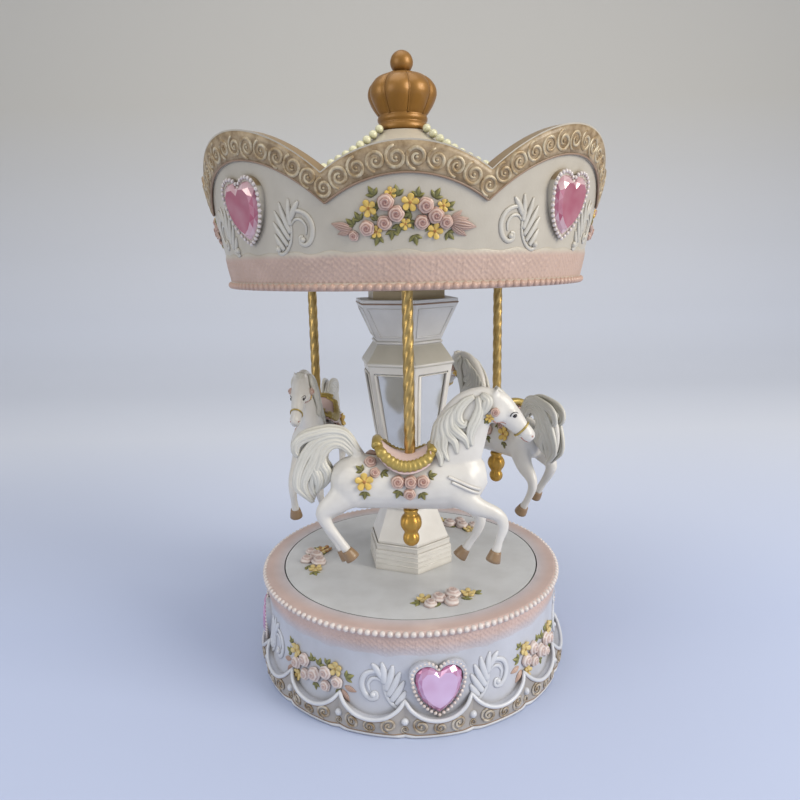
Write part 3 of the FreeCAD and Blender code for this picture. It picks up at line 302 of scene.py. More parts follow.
def bead(heap, at, radius, paint=0, rings=6, sides=10, stretch=(1, 1, 1)):
    """Ball, or an egg stretched along the axes."""
    points, faces = [], []
    for i in range(rings + 1):
        fall = pi * i / rings
        for j in range(sides if 0 < i < rings else 1):
            turn = 2 * pi * j / sides
            way = (sin(fall) * cos(turn), sin(fall) * sin(turn), cos(fall))
            points.append(at + Vector([radius * s * w for s, w in zip(stretch, way)]))
    last = len(points) - 1
    for j in range(sides):
        n = (j + 1) % sides
        faces.append((0, 1 + j, 1 + n))
        faces.append((last, last - sides + n, last - sides + j))
        for i in range(rings - 2):
            upper, lower = 1 + i * sides, 1 + (i + 1) * sides
            faces.append((upper + j, lower + j, lower + n, upper + n))
    heap.take(points, faces, paint=paint)


coil_start, coil_turn = 1.7, 9.8


def rosette(heap, wall, azimuth, z, size, hand, lift):
    """Spiral of a rosette with a bead at its heart."""
    path = []
    for k in range(26):
        f = k / 25
        turn = hand * (coil_start + coil_turn * f)
        path.append((size * (1 - 0.78 * f) * cos(turn), size * (1 - 0.78 * f) * sin(turn)))
    roll(heap, drawn(wall, azimuth, z, path, lift),
         lambda f: size * (0.08 + 0.12 * sin(pi * (0.2 + 0.7 * f))))
    bead(heap, stand(wall, azimuth, z, lift)[0], 0.17 * size, rings=4, sides=8)


foot_roll = bowed((56.2, 0), (57.4, 4.375), (54.9, 12.5))
lobe_step = 360.0 / lobe_count
lobe_reach, lobe_cut = 57.6, 1.7
edge_low, edge_arc, edge_half = 6.5, 13.51, 11.23


def lobe_share(azimuth):
    """From -1 to 1 across the lobe that an azimuth falls in."""
    return 2 * (((azimuth - lobe_turn) / lobe_step + 0.5) % 1) - 1


def foot_wall(z, azimuth):
    """Radius of the lobed foot."""
    return min(foot_roll(z), lobe_reach - lobe_cut * lobe_share(azimuth) ** 2)


def foot_edge(azimuth):
    """Height of the border's upper edge, an arc over each lobe."""
    return edge_low + edge_arc - sqrt(edge_arc ** 2 - (edge_half * lobe_share(azimuth)) ** 2)


# Antique gold rubbed over brown: warm metallic ridges, brown left in the hollows, little gloss.
antique_gold = lacquer("antique_gold_rubbed_over_brown", "#aba08f", "#66553f", 0.44, metallic=0.2)
mottled(antique_gold, 3.0, "#8f7a5c", "#c6beb0")
# Thinned umber run along the edges with a fine brush: flat brown lines.
brown_line = lacquer("umber_brushed_line", "#957a62", "#5c4634", 0.5)
rosettes, lines, lip = Heap(), Heap(), Heap()
foot_line, lip_foot = 1.45, 0.7
for k in range(lobe_count):
    middle = lobe_turn + k * lobe_step
    for t, size in ((-0.54, 2.6), (0.0, 2.2), (0.54, 2.6)):
        azimuth = middle + t * lobe_step / 2
        rosette(rosettes, foot_wall, azimuth, (1.4 + foot_edge(azimuth)) / 2, size, 1 if t <= 0 else -1, 0.1)
    bead(lip, stand(foot_wall, middle + lobe_step / 2, 5.9, 0.2)[0], 1.25, rings=8, sides=14)
    rosette(rosettes, foot_wall, middle + lobe_step / 2, 2.9, 1.3, -1, 0.1)
ring = [k * 360.0 / 640 + lobe_turn - lobe_step / 2 for k in range(640)]
hoop(lip, foot_wall, ring, lambda a: foot_edge(a) - 0.1, 0.05, 0.68, 0.9, 8)
hoop(lip, foot_wall, ring, lambda a: lip_foot, 0.0, 0.6, 0.7, 8)
hoop(lines, foot_wall, ring, lambda a: foot_edge(a) - 0.9, 0.0, 0.2)
hoop(lines, foot_wall, ring, lambda a: foot_line, 0.0, 0.18)
cast("base_foot_rosettes", rosettes, [antique_gold], "base")
cast("base_foot_lines", lines, [brown_line], "base")
cast("base_foot_lip", lip, [relief_resin], "base")


# Lace band and rim beads of the base: a strip of lace pressed into the mould, wavy along its lower
# edge, under a row of half pearls. All cast with the drum and tinted dusty pink.
def strip(heap, wall, low, high, lift, steps, rows):
    """Thin closed band on a wall between two heights; lift is its relief at an azimuth and height share."""
    points = []
    for k in range(steps):
        azimuth = 360.0 * k / steps
        z0, z1 = low(azimuth), high(azimuth)
        points.append(stand(wall, azimuth, z0, -0.5)[0])
        for j in range(rows + 1):
            points.append(stand(wall, azimuth, z0 + (z1 - z0) * j / rows, lift(azimuth, j / rows))[0])
        points.append(stand(wall, azimuth, z1, -0.5)[0])
    tall = rows + 3
    heap.take(points, faces_round(steps, tall, True))


def lace(across, up):
    """Relief of bobbin lace: a diamond net of threads, with a six-petalled flower every 7 mm."""
    net = max(abs(cos(pi * (across + up) / 1.75)), abs(cos(pi * (across - up) / 1.75)))
    x = (across + 3.5) % 7.0 - 3.5
    reach = hypot(x, up)
    flower = max(0.0, 1 - abs(reach - 1.2 - 0.5 * cos(6 * atan2(up, x))) / 0.6)
    return max(flower, 0.75 * max(0.0, (net - 0.86) / 0.14) if reach > 2.2 else 0.0)


rim_radius, lace_low_z, lace_top_z, lace_tall = 54, 26.8, 34.6, 7.6
lace_waves = 2 * lobe_count


def lace_foot(azimuth):
    """Height of the lace's wavy lower edge."""
    wave = 0.45 * cos(radians(lace_waves * (azimuth - lobe_turn)))
    return lace_low_z + wave + 0.3 * cos(radians(19 * azimuth))


def lace_relief(azimuth, f):
    """Relief of the lace, which fades out towards its lower edge."""
    net = lace(radians(azimuth) * rim_radius, lace_tall * f - lace_tall / 2)
    return -0.08 + 0.44 * min(1, 2.5 * f) + 0.26 * min(1, 0.15 + 2 * f) * net


# Pink-tinted resin lace: matt dusty pink, with painted shade making it darker in the net's holes and leaving
# the threads paler.
pink_lace = lacquer("dusty_pink_tinted_resin", "#c9b3ab", "#a68c82", 0.5)
by_height(pink_lace, 26.0, 31.5, shaded_drum_white, "#c9b0a7")
skirt = bowed((56, 0), (54.4, 12.6), (rim_radius, 33.4))
band = Heap()
strip(band, skirt, lace_foot, lambda a: lace_top_z, lace_relief, 1500, 28)
cast("base_lace_band", band, [pink_lace], "base")

# Half pearls in the casting: glossy blush lacquer, a sharp highlight on each.
pearl_blush = lacquer("blush_pearl_lacquer", "#d9d0cb", "#ab968c", 0.22)
rim_beads, rim_bead, rim_bead_ring, rim_bead_z = 144, 1.02, 54.9, 35.0
beads = Heap()
for k in range(rim_beads):
    bead(beads, around(rim_bead_ring, k * 360.0 / rim_beads, rim_bead_z), rim_bead)
cast("base_rim_pearls", beads, [pearl_blush], "base")


# Heart stones: foil-backed acrylic cut with a broad table, pressed into a cast setting.
# A ring of tiny half pearls runs round each setting.
def arc(a, m, b, count):
    """Points on the arc from a through m to b, without b."""
    a, m, b = complex(*a), complex(*m), complex(*b)
    w = (b - a) / (m - a)
    centre = a + (m - a) * (w - abs(w) ** 2) / (2j * w.imag)
    first, second = (m - centre) / (a - centre), (b - centre) / (m - centre)
    sweep = atan2(first.imag, first.real) + atan2(second.imag, second.real)
    turned = [centre + (a - centre) * complex(cos(sweep * k / count), sin(sweep * k / count))
              for k in range(count)]
    return [(p.real, p.imag) for p in turned]


def heart(width, height, count):
    """Outline of a heart, centred, as four arcs."""
    half = [(0.38, -0.22), (0.5, 0.14), (0.28, 0.48)]
    corners = [(0, -0.54)] + half + [(0, 0.34)] + [(-x, z) for x, z in reversed(half)]
    corners = [(x * width, z * height) for x, z in corners]
    path = []
    for k in range(0, 8, 2):
        path += arc(corners[k], corners[k + 1], corners[(k + 2) % 8], count)
    return path


def lie(out):
    """Directions across and up on a surface that faces out."""
    side = Vector((0, 0, 1)) if abs(out.z) < 0.9 else Vector((1, 0, 0))
    across = side.cross(out).normalized()
    return across, out.cross(across)


stone_width, stone_half, setting_room = 15.0, 7.7, 1.7


def heart_stones(name, node, wall, z, azimuths, body, material, tall, facet_reflection_of):
    """Cut stones in pearl rings on a wall; the last function given tints each facet by its tier and height as
    a painted reflection.
    """
    cut = bmesh.new()
    tint = cut.faces.layers.float.new("facet")
    ring = Heap()
    chance = random.Random(5)
    for azimuth in azimuths:
        centre, out = stand(wall, azimuth, z)
        across, up = lie(out)
        rows = []
        for scale, depth, shift in ((1.0, 0.2, 0), (1.0, 0.9, 0), (0.89, 1.85, 1), (0.75, 2.55, 0)):
            path = heart(stone_width * scale, tall * scale, 8)
            path = [path[(2 * k + shift) % 32] for k in range(16)]
            rows.append([cut.verts.new((centre + across * u + up * v + out * depth) * 0.001)
                         for u, v in path])
        girdle, crown, star, table = rows
        made = [(cut.faces.new(table), 0)]
        for k in range(16):
            n = (k + 1) % 16
            made.append((cut.faces.new((girdle[k], girdle[n], crown[n], crown[k])), 3))
            made.append((cut.faces.new((crown[k], crown[n], star[k])), 2))
            made.append((cut.faces.new((crown[n], star[n], star[k])), 2))
            made.append((cut.faces.new((star[k], star[n], table[n])), 1))
            made.append((cut.faces.new((star[k], table[n], table[k])), 1))
        # Painted reflection: each facet's tint comes from its tier and height, with a random sparkle on all
        # but the table.
        for face, tier in made:
            height = (face.calc_center_median() * 1000 - centre).dot(up) / stone_half
            face[tint] = facet_reflection_of(tier, height) + 0.3 * chance.random() * min(tier, 1)
        for u, v in heart(stone_width + setting_room, tall + setting_room, 10):
            bead(ring, centre + across * u + up * v + out * 1.05, 0.62, rings=5, sides=8)
    bmesh.ops.recalc_face_normals(cut, faces=cut.faces)
    mesh = bpy.data.meshes.new(name)
    cut.to_mesh(mesh)
    cut.free()
    mesh.materials.append(material)
    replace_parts(piece(name, mesh, body), node)
    cast(name + "_pearls", ring, [pearl_blush], body)


def stone(name, pale, deep):
    """Foil-backed acrylic: each cut facet shows its painted reflection as a tint between two, clouded a
    little by depth.
    """
    material, tree, shader, place = begin(name)
    facet = add(tree, "Attribute", {"attribute_name": "facet"}, "Fac")
    depth = add(tree, "TexNoise", {"Vector": place, "Scale": 1000 / cloud_mm, "Detail": 1.0})
    mixed = add(tree, "Math", {"operation": "MULTIPLY_ADD", 0: depth, 1: 0.5, 2: -0.25})
    mixed = add(tree, "Math", {"operation": "ADD", "use_clamp": True, 0: mixed, 1: facet})
    rosy = add(tree, "Mix", {"data_type": "RGBA", 0: mixed, 6: linear(pale), 7: linear(deep)}, 2)
    settle(shader, {"Base Color": rosy, "Roughness": 0.06, "Metallic": 0.3, "Coat Weight": 1.0,
                    "Coat Roughness": 0.03})
    return material


# Lilac-pink acrylic: mirror-bright facets whose tints, a painted reflection, run from pale lilac on the table
# to deep rose at the girdle.
cloud_mm = 5
lilac_stone = stone("foil_backed_lilac_acrylic_cut", "#dfc4e4", "#a8497a")
base_hearts = [8.0 + 90.0 * k for k in range(4)]
stone_z = 16.6
heart_stones("base_cut_stones", "base_heart_stones", skirt, stone_z, base_hearts, "base", lilac_stone, 15.4,
             lambda tier, height: (0.15, 0.3, 0.6, 1.0)[tier])


# Scrolls beside the stones: C-scrolls and fans of acanthus in low relief, cast with the drum.
# The same model was pressed into the canopy's mould, so both share it.
def smooth(path, steps=6):
    """Points along a smooth line through the given ones."""
    last = len(path) - 1
    made = []
    for k in range(last):
        near = [path[max(k - 1, 0)], path[k], path[k + 1], path[min(k + 2, last)]]
        for s in range(steps):
            t = s / steps
            made.append([0.5 * (2 * b + (c - a) * t + (2 * a - 5 * b + 4 * c - d) * t * t
                                + (3 * b - a - 3 * c + d) * t ** 3) for a, b, c, d in zip(*near)])
    return made + [list(path[-1])]


def scrollwork(heap, wall, azimuth, z, scale, weight):
    """A double C-scroll and a fan of leaves on either side of a stone, in mm from its middle."""
    scrolls = (
        (((16.0, 2.6), (17.8, 4.1), (20.4, 4.6), (23.2, 3.2), (24.4, 0.2), (23.6, -3.0), (21.6, -4.7),
          (19.7, -4.2), (19.7, -2.6), (20.9, -2.4)), lambda f: 0.35 + 0.45 * sin(pi * f)),
        (((17.6, 1.0), (19.0, 2.3), (21.0, 2.1), (22.3, 0.2), (21.9, -2.0)),
         lambda f: 0.22 + 0.3 * sin(pi * f)),
        (((10.6, -6.6), (12.2, -7.2), (14.6, -5.8), (16.4, -3.2), (17.2, 0.0), (17.0, 2.8)),
         lambda f: 0.7 - 0.35 * f))
    leaves = (
        ((13.2, -6.0), (11.6, -3.6), (10.4, -1.4)), ((14.8, -4.8), (12.4, -1.0), (10.7, 2.0)),
        ((15.9, -3.2), (13.4, 1.6), (12.0, 5.0)), ((16.6, -1.4), (15.0, 3.6), (14.3, 7.2)),
        ((17.0, 0.8), (17.2, 4.8), (17.8, 8.0)), ((17.4, 2.4), (19.4, 5.4), (21.0, 7.2)))
    for side in (-1, 1):
        def lay(path, width, press=0.5):
            path = [(side * scale * u, scale * v) for u, v in smooth(path)]
            roll(heap, drawn(wall, azimuth, z, path, 0.1), lambda f: weight * width(f), press)
        for path, width in scrolls:
            lay(path, width)
        for u, v, size in ((11.0, -5.7, 0.95), (20.7, -3.3, 0.8)):
            turn = azimuth + degrees(side * scale * u / wall(z, azimuth))
            bead(heap, stand(wall, turn, z + scale * v, 0.1)[0], size * weight)
        for path in leaves:
            lay(path, lambda f: 0.25 + 0.75 * sin(pi * min(0.97, 0.2 + 0.8 * f)), 0.55)


carving = Heap()
for azimuth in base_hearts:
    scrollwork(carving, skirt, azimuth, stone_z, 1.0, 1.3)
cast("base_scrolls", carving, [relief_resin], "base")


# Flower sprays on the base: roses, yellow blossoms and leaves modelled by hand in coloured
# resin clay and glued on in an arch between the stones.
def petals(heap, at, out, rings, sides, shape, paint, turn):
    """Round head on a surface; shape gives (reach, height, shade) at a ring share and an angle."""
    across, up = lie(out)
    points, shades = [], []
    for i in range(rings + 2):
        for j in range(sides):
            a = 2 * pi * j / sides
            reach, height, shade = shape(min(i, rings) / rings, a)
            if i > rings:
                reach, height = 0.8 * reach, -0.5
            points.append(at + across * (reach * cos(a + turn)) + up * (reach * sin(a + turn))
                          + out * height)
            shades.append(shade)
    heap.take(points, faces_round(rings + 2, sides), shades, paint)


def rose(heap, at, out, size, turn):
    """Rose: petals wound in a spiral round its heart, five broad ones open at the rim."""
    def shape(f, a):
        f = 0.03 + 0.97 * f
        wind = (2.6 * f - a / (2 * pi)) % 1.0
        lobed = 1 - 0.1 * f * abs(sin(2.5 * a))
        height = size * (0.62 * (1 - f ** 2.4) + 0.2 * wind * min(1, 3 * f) + 0.1)
        # Shade: darker towards the heart, and painted shade in the gaps where the wound petals overlap.
        shade = min(1.0, 0.85 * (1 - f) ** 1.5 + 0.9 * (1 - wind) ** 3)
        return size * f * lobed, height, shade
    petals(heap, at, out, 15, 26, shape, 0, turn)


def blossom(heap, at, out, size, turn, paint=1):
    """Open five-petalled blossom with a domed eye."""
    def shape(f, a):
        f = 0.05 + 0.95 * f
        petal = abs(cos(2.5 * a)) ** 0.6
        reach = size * f * (1 - 0.42 * f * (1 - petal))
        height = size * (0.12 + 0.34 * f * petal - 0.1 * f * f)
        height += size * 0.22 * (1 - f / 0.3) if f < 0.3 else 0
        # Shade: the eye in its own darker colour, and painted shade between the petals.
        return reach, height, 1.0 if f < 0.26 else 0.55 * (1 - petal) * (1 - 0.5 * f)
    petals(heap, at, out, 9, 30, shape, paint, turn)


def leaf(heap, at, out, size, turn, paint=2, wide=0.25, flutes=0):
    """Pointed leaf with a raised rib and a paler tip, or a fluted ribbon end."""
    across, up = lie(out)
    along = across * cos(turn) + up * sin(turn)
    sideways = out.cross(along)
    points, shades = [], []
    count, half = 8, 6 if flutes else 3
    row = 2 * half + 1
    for k in range(count + 1):
        f = k / count
        width = size * wide * sin(pi * (0.06 + 0.94 * f) ** 0.85) + 0.02
        arch = 0.16 * size * sin(pi * (0.1 + 0.9 * f))
        for j in range(-half, half + 1):
            t = j / half
            ridge = 0.5 + 0.5 * cos(flutes * pi * t) if flutes else 1 - abs(t)
            height = arch * (0.45 + 0.55 * ridge) * (1 - 0.5 * t * t) + 0.1
            points.append(at + along * (size * f) + sideways * (width * t) + out * height)
            # Shade: painted shade in a ribbon's flutes and down a leaf's sides, leaving its rib lighter; a
            # leaf's tip is paler.
            shades.append(1 - ridge if flutes else max(0.0, 0.95 - 0.35 * ridge - 0.75 * f ** 3))
        points += [points[-1] - out * 0.5, points[-row] - out * 0.5]
        shades += [0.5, 0.5]
    heap.take(points, faces_round(count + 1, row + 2), shades, paint)


def clay(name, light, deep, rough=0.45):
    """Tinted resin clay: each point's shade mixes in the deeper tint, as painted shade in the folds and as a
    darker colour at the hearts.
    """
    material = lacquer(name, light, deep, rough)
    tree, coat = coat_of(material)[:2]
    shade_and_heart_tint = add(tree, "Attribute", {"attribute_name": "shade"}, "Fac")
    tint = add(tree, "Mix", {"data_type": "RGBA", 0: shade_and_heart_tint, 6: linear(light), 7: linear(deep)}, 2)
    tree.links.new(tint, coat)
    return material


# Hand-tinted resin clay: satin, each head paler at the petal rims and deeper in the folds, where the depth is
# painted shade.
ribbon_clay = clay("blush_resin_clay_fluted", "#cdb3a4", "#9f7c6c")
flower_clays = [
    clay("peach_pink_resin_clay_tinted", "#d6bcac", "#94665a"),
    clay("yellow_resin_clay_tinted", "#dcbb5c", "#a8722a"),
    clay("olive_green_resin_clay_tinted", "#9c9446", "#3d401f", 0.5), ribbon_clay]
# White-pink and yellow-green clay: the sprays on the drum and the disc are paler than the canopy's.
pale_clays = [
    clay("white_pink_resin_clay_tinted", "#e0d8d4", "#b89c94"),
    clay("straw_resin_clay_tinted", "#d8c384", "#a58542"),
    clay("yellow_green_resin_clay_tinted", "#a9a55c", "#4f5430", 0.5), ribbon_clay,
    clay("rust_resin_clay_tinted", "#a87a44", "#6b4322")]


def flower(heap, kind, at, out, size, turn):
    """One head, a ribbon end or a cluster of three leaves, turned by degrees."""
    turn = radians(turn)
    if kind == "rose":
        rose(heap, at, out, size, turn)
    elif kind == "blossom":
        blossom(heap, at, out, size, turn)
    elif kind == "ribbon":
        leaf(heap, at, out, size, turn, 3, 0.2, 4)
    else:
        for swing in (-0.95, 0.0, 0.95):
            leaf(heap, at, out, size * (1 if swing == 0 else 0.8), turn + swing)


def spray(heap, wall, azimuth, z, flowers):
    """Flowers on a wall: kind, place across and up in mm, size, turn in degrees."""
    for kind, u, v, size, turn in flowers:
        at, out = stand(wall, azimuth + degrees(u / wall(z, azimuth)), z + v)
        flower(heap, kind, at, out, size, turn)


base_spray = (
    ("rose", -4.4, 1.4, 2.5, 10), ("rose", 0.4, -1.9, 2.7, 80), ("rose", 5.0, 0.2, 2.5, 150),
    ("rose", -8.6, -1.2, 2.4, 40), ("rose", 9.4, -1.8, 2.3, 100), ("rose", -4.0, -3.6, 2.2, 60),
    ("rose", 5.0, -4.4, 2.1, 20), ("blossom", 8.8, 2.6, 2.6, 20), ("blossom", -9.0, 3.0, 2.6, 60),
    ("blossom", -8.0, -5.4, 2.1, 0), ("leaf", 2.0, 1.6, 3.0, 75), ("leaf", -0.8, 2.2, 2.8, 110),
    ("leaf", 5.2, 3.0, 2.7, 55), ("leaf", -12.2, 0.4, 3.0, 160), ("leaf", 12.4, 0.4, 3.3, 25),
    ("leaf", -11.6, 4.4, 2.4, 125), ("leaf", 0.6, -5.0, 2.5, -85), ("leaf", 9.4, -4.4, 2.4, -50),
    ("ribbon", 11.0, -4.0, 4.6, -50), ("ribbon", 12.2, -2.6, 4.2, -15), ("ribbon", -11.2, -3.8, 4.6, 225),
    ("ribbon", -12.4, -2.0, 4.0, 195))
flowers = Heap()
base_spray_turn, base_spray_z = 53.0, 16.9
for k in range(4):
    spray(flowers, skirt, base_spray_turn + 90.0 * k, base_spray_z, base_spray)
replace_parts(cast("base_sprays", flowers, pale_clays, "base"), "base_flower_sprays")


# Bottom plate, key and screws: a fibreboard disc let into the base, held by three steel screws,
# with the stamped wing key on the movement's arbor below it.
def metal(name, colour, rough, scratch_mm, metallic=1.0):
    """Worked metal: fine turning or rolling marks in its gloss, a little uneven tarnish in its colour."""
    material, tree, shader, place = begin(name)
    tarnish = add(tree, "TexNoise", {"Vector": place, "Scale": 1000 / tarnish_mm, "Detail": 4.0})
    stain = add(tree, "MapRange", {0: tarnish, 1: 0.4, 2: 0.75, 3: 0.0, 4: 0.5})
    dull = [0.45 * c for c in linear(colour)[:3]] + [1]
    marks = add(tree, "TexNoise", {"Vector": place, "Scale": 1000 / scratch_mm, "Detail": 3.0})
    settle(shader, {
        "Base Color": add(tree, "Mix", {"data_type": "RGBA", 0: stain, 6: linear(colour), 7: dull}, 2),
        "Roughness": add(tree, "MapRange", {0: marks, 1: 0.3, 2: 0.7, 3: rough - 0.06, 4: rough + 0.1}),
        "Normal": add(tree, "Bump", {"Strength": 0.2, "Distance": 0.00005, "Height": marks}),
        "Metallic": metallic})
    return material


tarnish_mm, fibre_mm = 3, 2
# Pressed fibreboard: matt grey-brown, flecked with lighter fibres about 2 mm long.
fibreboard = lacquer("pressed_fibreboard", "#b9aea0", "#6b6156", 0.8, 0.4)
tree, coat, place = coat_of(fibreboard)
fleck = add(tree, "TexNoise", {"Vector": place, "Scale": 1000 / fibre_mm, "Detail": 6.0, "Distortion": 2.0})
fibre = add(tree, "MapRange", {0: fleck, 1: 0.45, 2: 0.6})
board = add(tree, "Mix", {"data_type": "RGBA", 0: fibre, 6: linear("#a4988a"), 7: linear("#c6bcae")}, 2)
tree.links.new(board, coat)
dress(fibreboard, "bottom_plate")
# Nickelled steel: cool grey, bright, with hair-fine marks; gilt steel for the key's own plating.
steel = metal("nickelled_steel_turned", "#b9bcc0", 0.26, 0.3)
key_plate = metal("brass_plated_steel_stamped", "#b89a5a", 0.3, 0.3)
dress(steel, "bottom_plate_screws", "movement_screws", "comb_screws", "winding_arbor", "cylinder_arbor",
      "governor_arbor", "drive_rod", "rod_nut", "thrust_washer")
dress(key_plate, "winding_key")


# Movement: the comb movement under the deck, screwed to the bottom plate. A zinc bedplate carries a
# brass barrel, cylinder and wheels, a hardened comb, and the governor with its nylon worm and fly.
# Turned brass: yellow and bright. Cast zinc: dull grey. Blued steel: dark and smooth. Nylon: milky, satin.
brass = metal("free_cutting_brass_turned", "#c2a25a", 0.3, 0.25)
zinc = metal("zinc_alloy_die_cast", "#9fa3a6", 0.48, 0.5)
spring_steel = metal("blued_spring_steel_rolled", "#6f7681", 0.32, 0.2)
nylon = lacquer("natural_nylon_moulded", "#d9d4c2", "#a8a290", 0.42, 0.3)
dress(brass, "spring_barrel", "barrel_cover", "music_cylinder", "cylinder_end_wheel", "cylinder_pinion",
      "governor_wheel", "governor_pinion", "deck_bush")
dress(zinc, "movement_bedplate", "governor_frame")
dress(spring_steel, "mainspring", "clutch_spring", "comb")
dress(nylon, "governor_worm", "air_fly")


# Turntable: a flat resin disc level with the rim, lacquered and buffed, and spun by the movement.
# Three small sprays of the paler clay flowers are glued on, and one rust blossom.
disc_resin = lacquer("pearl_lacquered_polyresin_buffed", "#c9cbcd", "#92918d", 0.34)
dress(disc_resin, "turntable_disc")
deck_z, spray_ring = 36.0, 36.0
disc_spray = (
    ("rose", -2.4, 0.2, 2.9, 0), ("rose", 3.2, -1.0, 3.1, 50), ("blossom", -7.2, -1.0, 2.7, 20),
    ("blossom", 8.4, 0.8, 2.7, 70), ("rose", 0.8, 3.6, 2.7, 90), ("rose", -5.8, 3.0, 2.4, 30),
    ("leaf", -9.0, 1.2, 3.3, 165), ("leaf", 10.4, 1.8, 3.2, 20), ("leaf", 1.4, -3.4, 3.2, -80),
    ("leaf", -3.6, 4.2, 3.2, 115), ("leaf", 5.6, 3.8, 3.0, 55), ("leaf", -5.2, -2.8, 2.8, -120))
flowers = Heap()
upward = Vector((0, 0, 1))
for azimuth in (18.0, 145.0, -87.0):
    for kind, u, v, size, spin in disc_spray:
        at = around(spray_ring + v, azimuth + degrees(u / spray_ring), deck_z)
        flower(flowers, kind, at, upward, size, spin + azimuth + 90)
blossom(flowers, Vector((-33.5, 6.5, deck_z)), upward, 2.8, 0.4, 4)
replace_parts(cast("turntable_sprays", flowers, pale_clays, "carousel"),
            "turntable_flower_sprays")


# Column: six-sided resin castings threaded on the drive rod; silvered glass is glued into the
# shaft's tapered frames, and a dark bronzed cap joins the capital to the ceiling.
dress(pearl_resin, "column_pedestal", "column_shaft")
# The capital's lower slope, under its wider top, is coloured greyer than the rest: painted shade.
capital_resin = lacquer("pearl_lacquered_polyresin_shaded_below", pearl_white, "#8f897e", 0.38)
by_height(capital_resin, 118.4, 119.6, "#b3aea0", pearl_white)
dress(capital_resin, "column_capital")
# Silvered glass: a clear pale mirror, slightly soft with dust, hazed in large patches.
haze_mm = 12
mirror, tree, shader, place = begin("silvered_glass_mirror")
haze = add(tree, "TexNoise", {"Vector": place, "Scale": 1000 / haze_mm, "Detail": 4.0})
dusty = add(tree, "Mix", {"data_type": "RGBA", 0: haze, 6: linear("#e2e1dc"), 7: linear("#cccbc5")}, 2)
soft = add(tree, "MapRange", {0: haze, 1: 0.35, 2: 0.75, 3: 0.05, 4: 0.18})
settle(shader, {"Base Color": dusty, "Roughness": soft, "Metallic": 0.72})
dress(mirror, "column_mirrors")


def turned(heap, profile, sides, start=0.0, flutes=0, cut=0.0, at=Vector()):
    """Turned or many-sided form from (radius, height, share of the fluting) rows round the vertical."""
    points = []
    for r, z, fluted in profile:
        for j in range(sides):
            a = 2 * pi * j / sides
            ridge = abs(sin(0.5 * flutes * a)) if flutes else 1.0
            reach = r * (1 - cut * fluted * (1 - ridge ** 0.6))
            points.append(at + around(reach, start + degrees(a), z))
    heap.take(points, faces_round(len(profile), sides))


# Bronze paint on resin: a dull grey-gold with brown in its corners.
bronzed = lacquer("bronze_painted_resin", "#bfa97e", "#66573e", 0.45)
column_turn = 9.0
cap = Heap()
cap_steps = ((14.5, 134.5), (14.5, 137.3), (13.6, 137.9), (12.1, 138.1), (12.1, 141.0))
turned(cap, [(r, z, 0) for r, z in cap_steps], 6, column_turn)
cap_mesh = cap.mesh("column_stepped_cap", [bronzed])
cap_mesh.set_sharp_from_angle(angle=radians(25))
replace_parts(piece("column_stepped_cap", cap_mesh, "carousel"), "column_cap")


# Mouldings of the column: beads that frame the mirrors and the capital's panels, and rings at its steps.
# They are cast with the column's parts; only the line under the cap is brushed brown.
def panel(heap, low, high, margin, trim, half):
    """Moulding round each of the six sides between two (radius, height) rings, kept in from its edges."""
    for k in range(6):
        corners = []
        for (r, z), inset in ((low, trim), (high, -trim)):
            reach = r + (high[0] - low[0]) * inset / (high[1] - low[1])
            for turn in (column_turn + 60 * k, column_turn + 60 * k + 60):
                corners.append(around(reach, turn, z + inset))
        left, right, far_left, far_right = corners
        along = (right - left).normalized()
        out = along.cross(far_left - left + (far_right - right)).normalized()
        path = [left + along * margin, right - along * margin, far_right - along * margin,
                far_left + along * margin]
        roll(heap, [(at, out) for at in path], half, 0.7, 8, closed=True)


mouldings = Heap()
panel(mouldings, (8.8, 60.0), (17.2, 111.5), 2.0, 3.0, 0.75)
panel(mouldings, (13.0, 120.0), (19.4, 132.9), 1.5, 1.5, 0.45)
corners = [column_turn + 60 * k for k in range(6)]
for r, z, half, paint in ((17.4, 112.2, 0.5, 0), (13.1, 119.5, 0.55, 0), (19.3, 133.2, 0.32, 1),
                          (15.6, 45.3, 0.4, 0), (10.7, 58.6, 0.5, 0), (16.5, 38.3, 0.25, 0),
                          (16.4, 40.2, 0.25, 0), (16.3, 42.1, 0.25, 0)):
    roll(mouldings, [(around(r, a, z), around(1, a)) for a in corners], half, 1.0, 8, paint, True)
cast("column_mouldings", mouldings, [pearl_resin, brown_line], "carousel")


# Canopy valance: a flared ring with eight scallops, cast in one with its ledge and gem settings.
# Its lacquer is a warmer ivory white, darker than the pearl white as painted shade; its scalloped edge, the
# border and the lace below are brushed in.
shaded_canopy_ivory, edge_colour, foot_peach = "#bdb5a4", "#8c7552", "#b99a89"
ivory_resin = lacquer("ivory_lacquered_polyresin", shaded_canopy_ivory, "#948b7a", 0.38)
dress(ivory_resin, "canopy_ceiling", "canopy_roof")
# The canopy's scrolls: a lighter ivory than the field, with only faint painted shade in their creases.
ivory_relief = lacquer("ivory_lacquered_relief", "#c6c1b4", "#b0a898", 0.36)
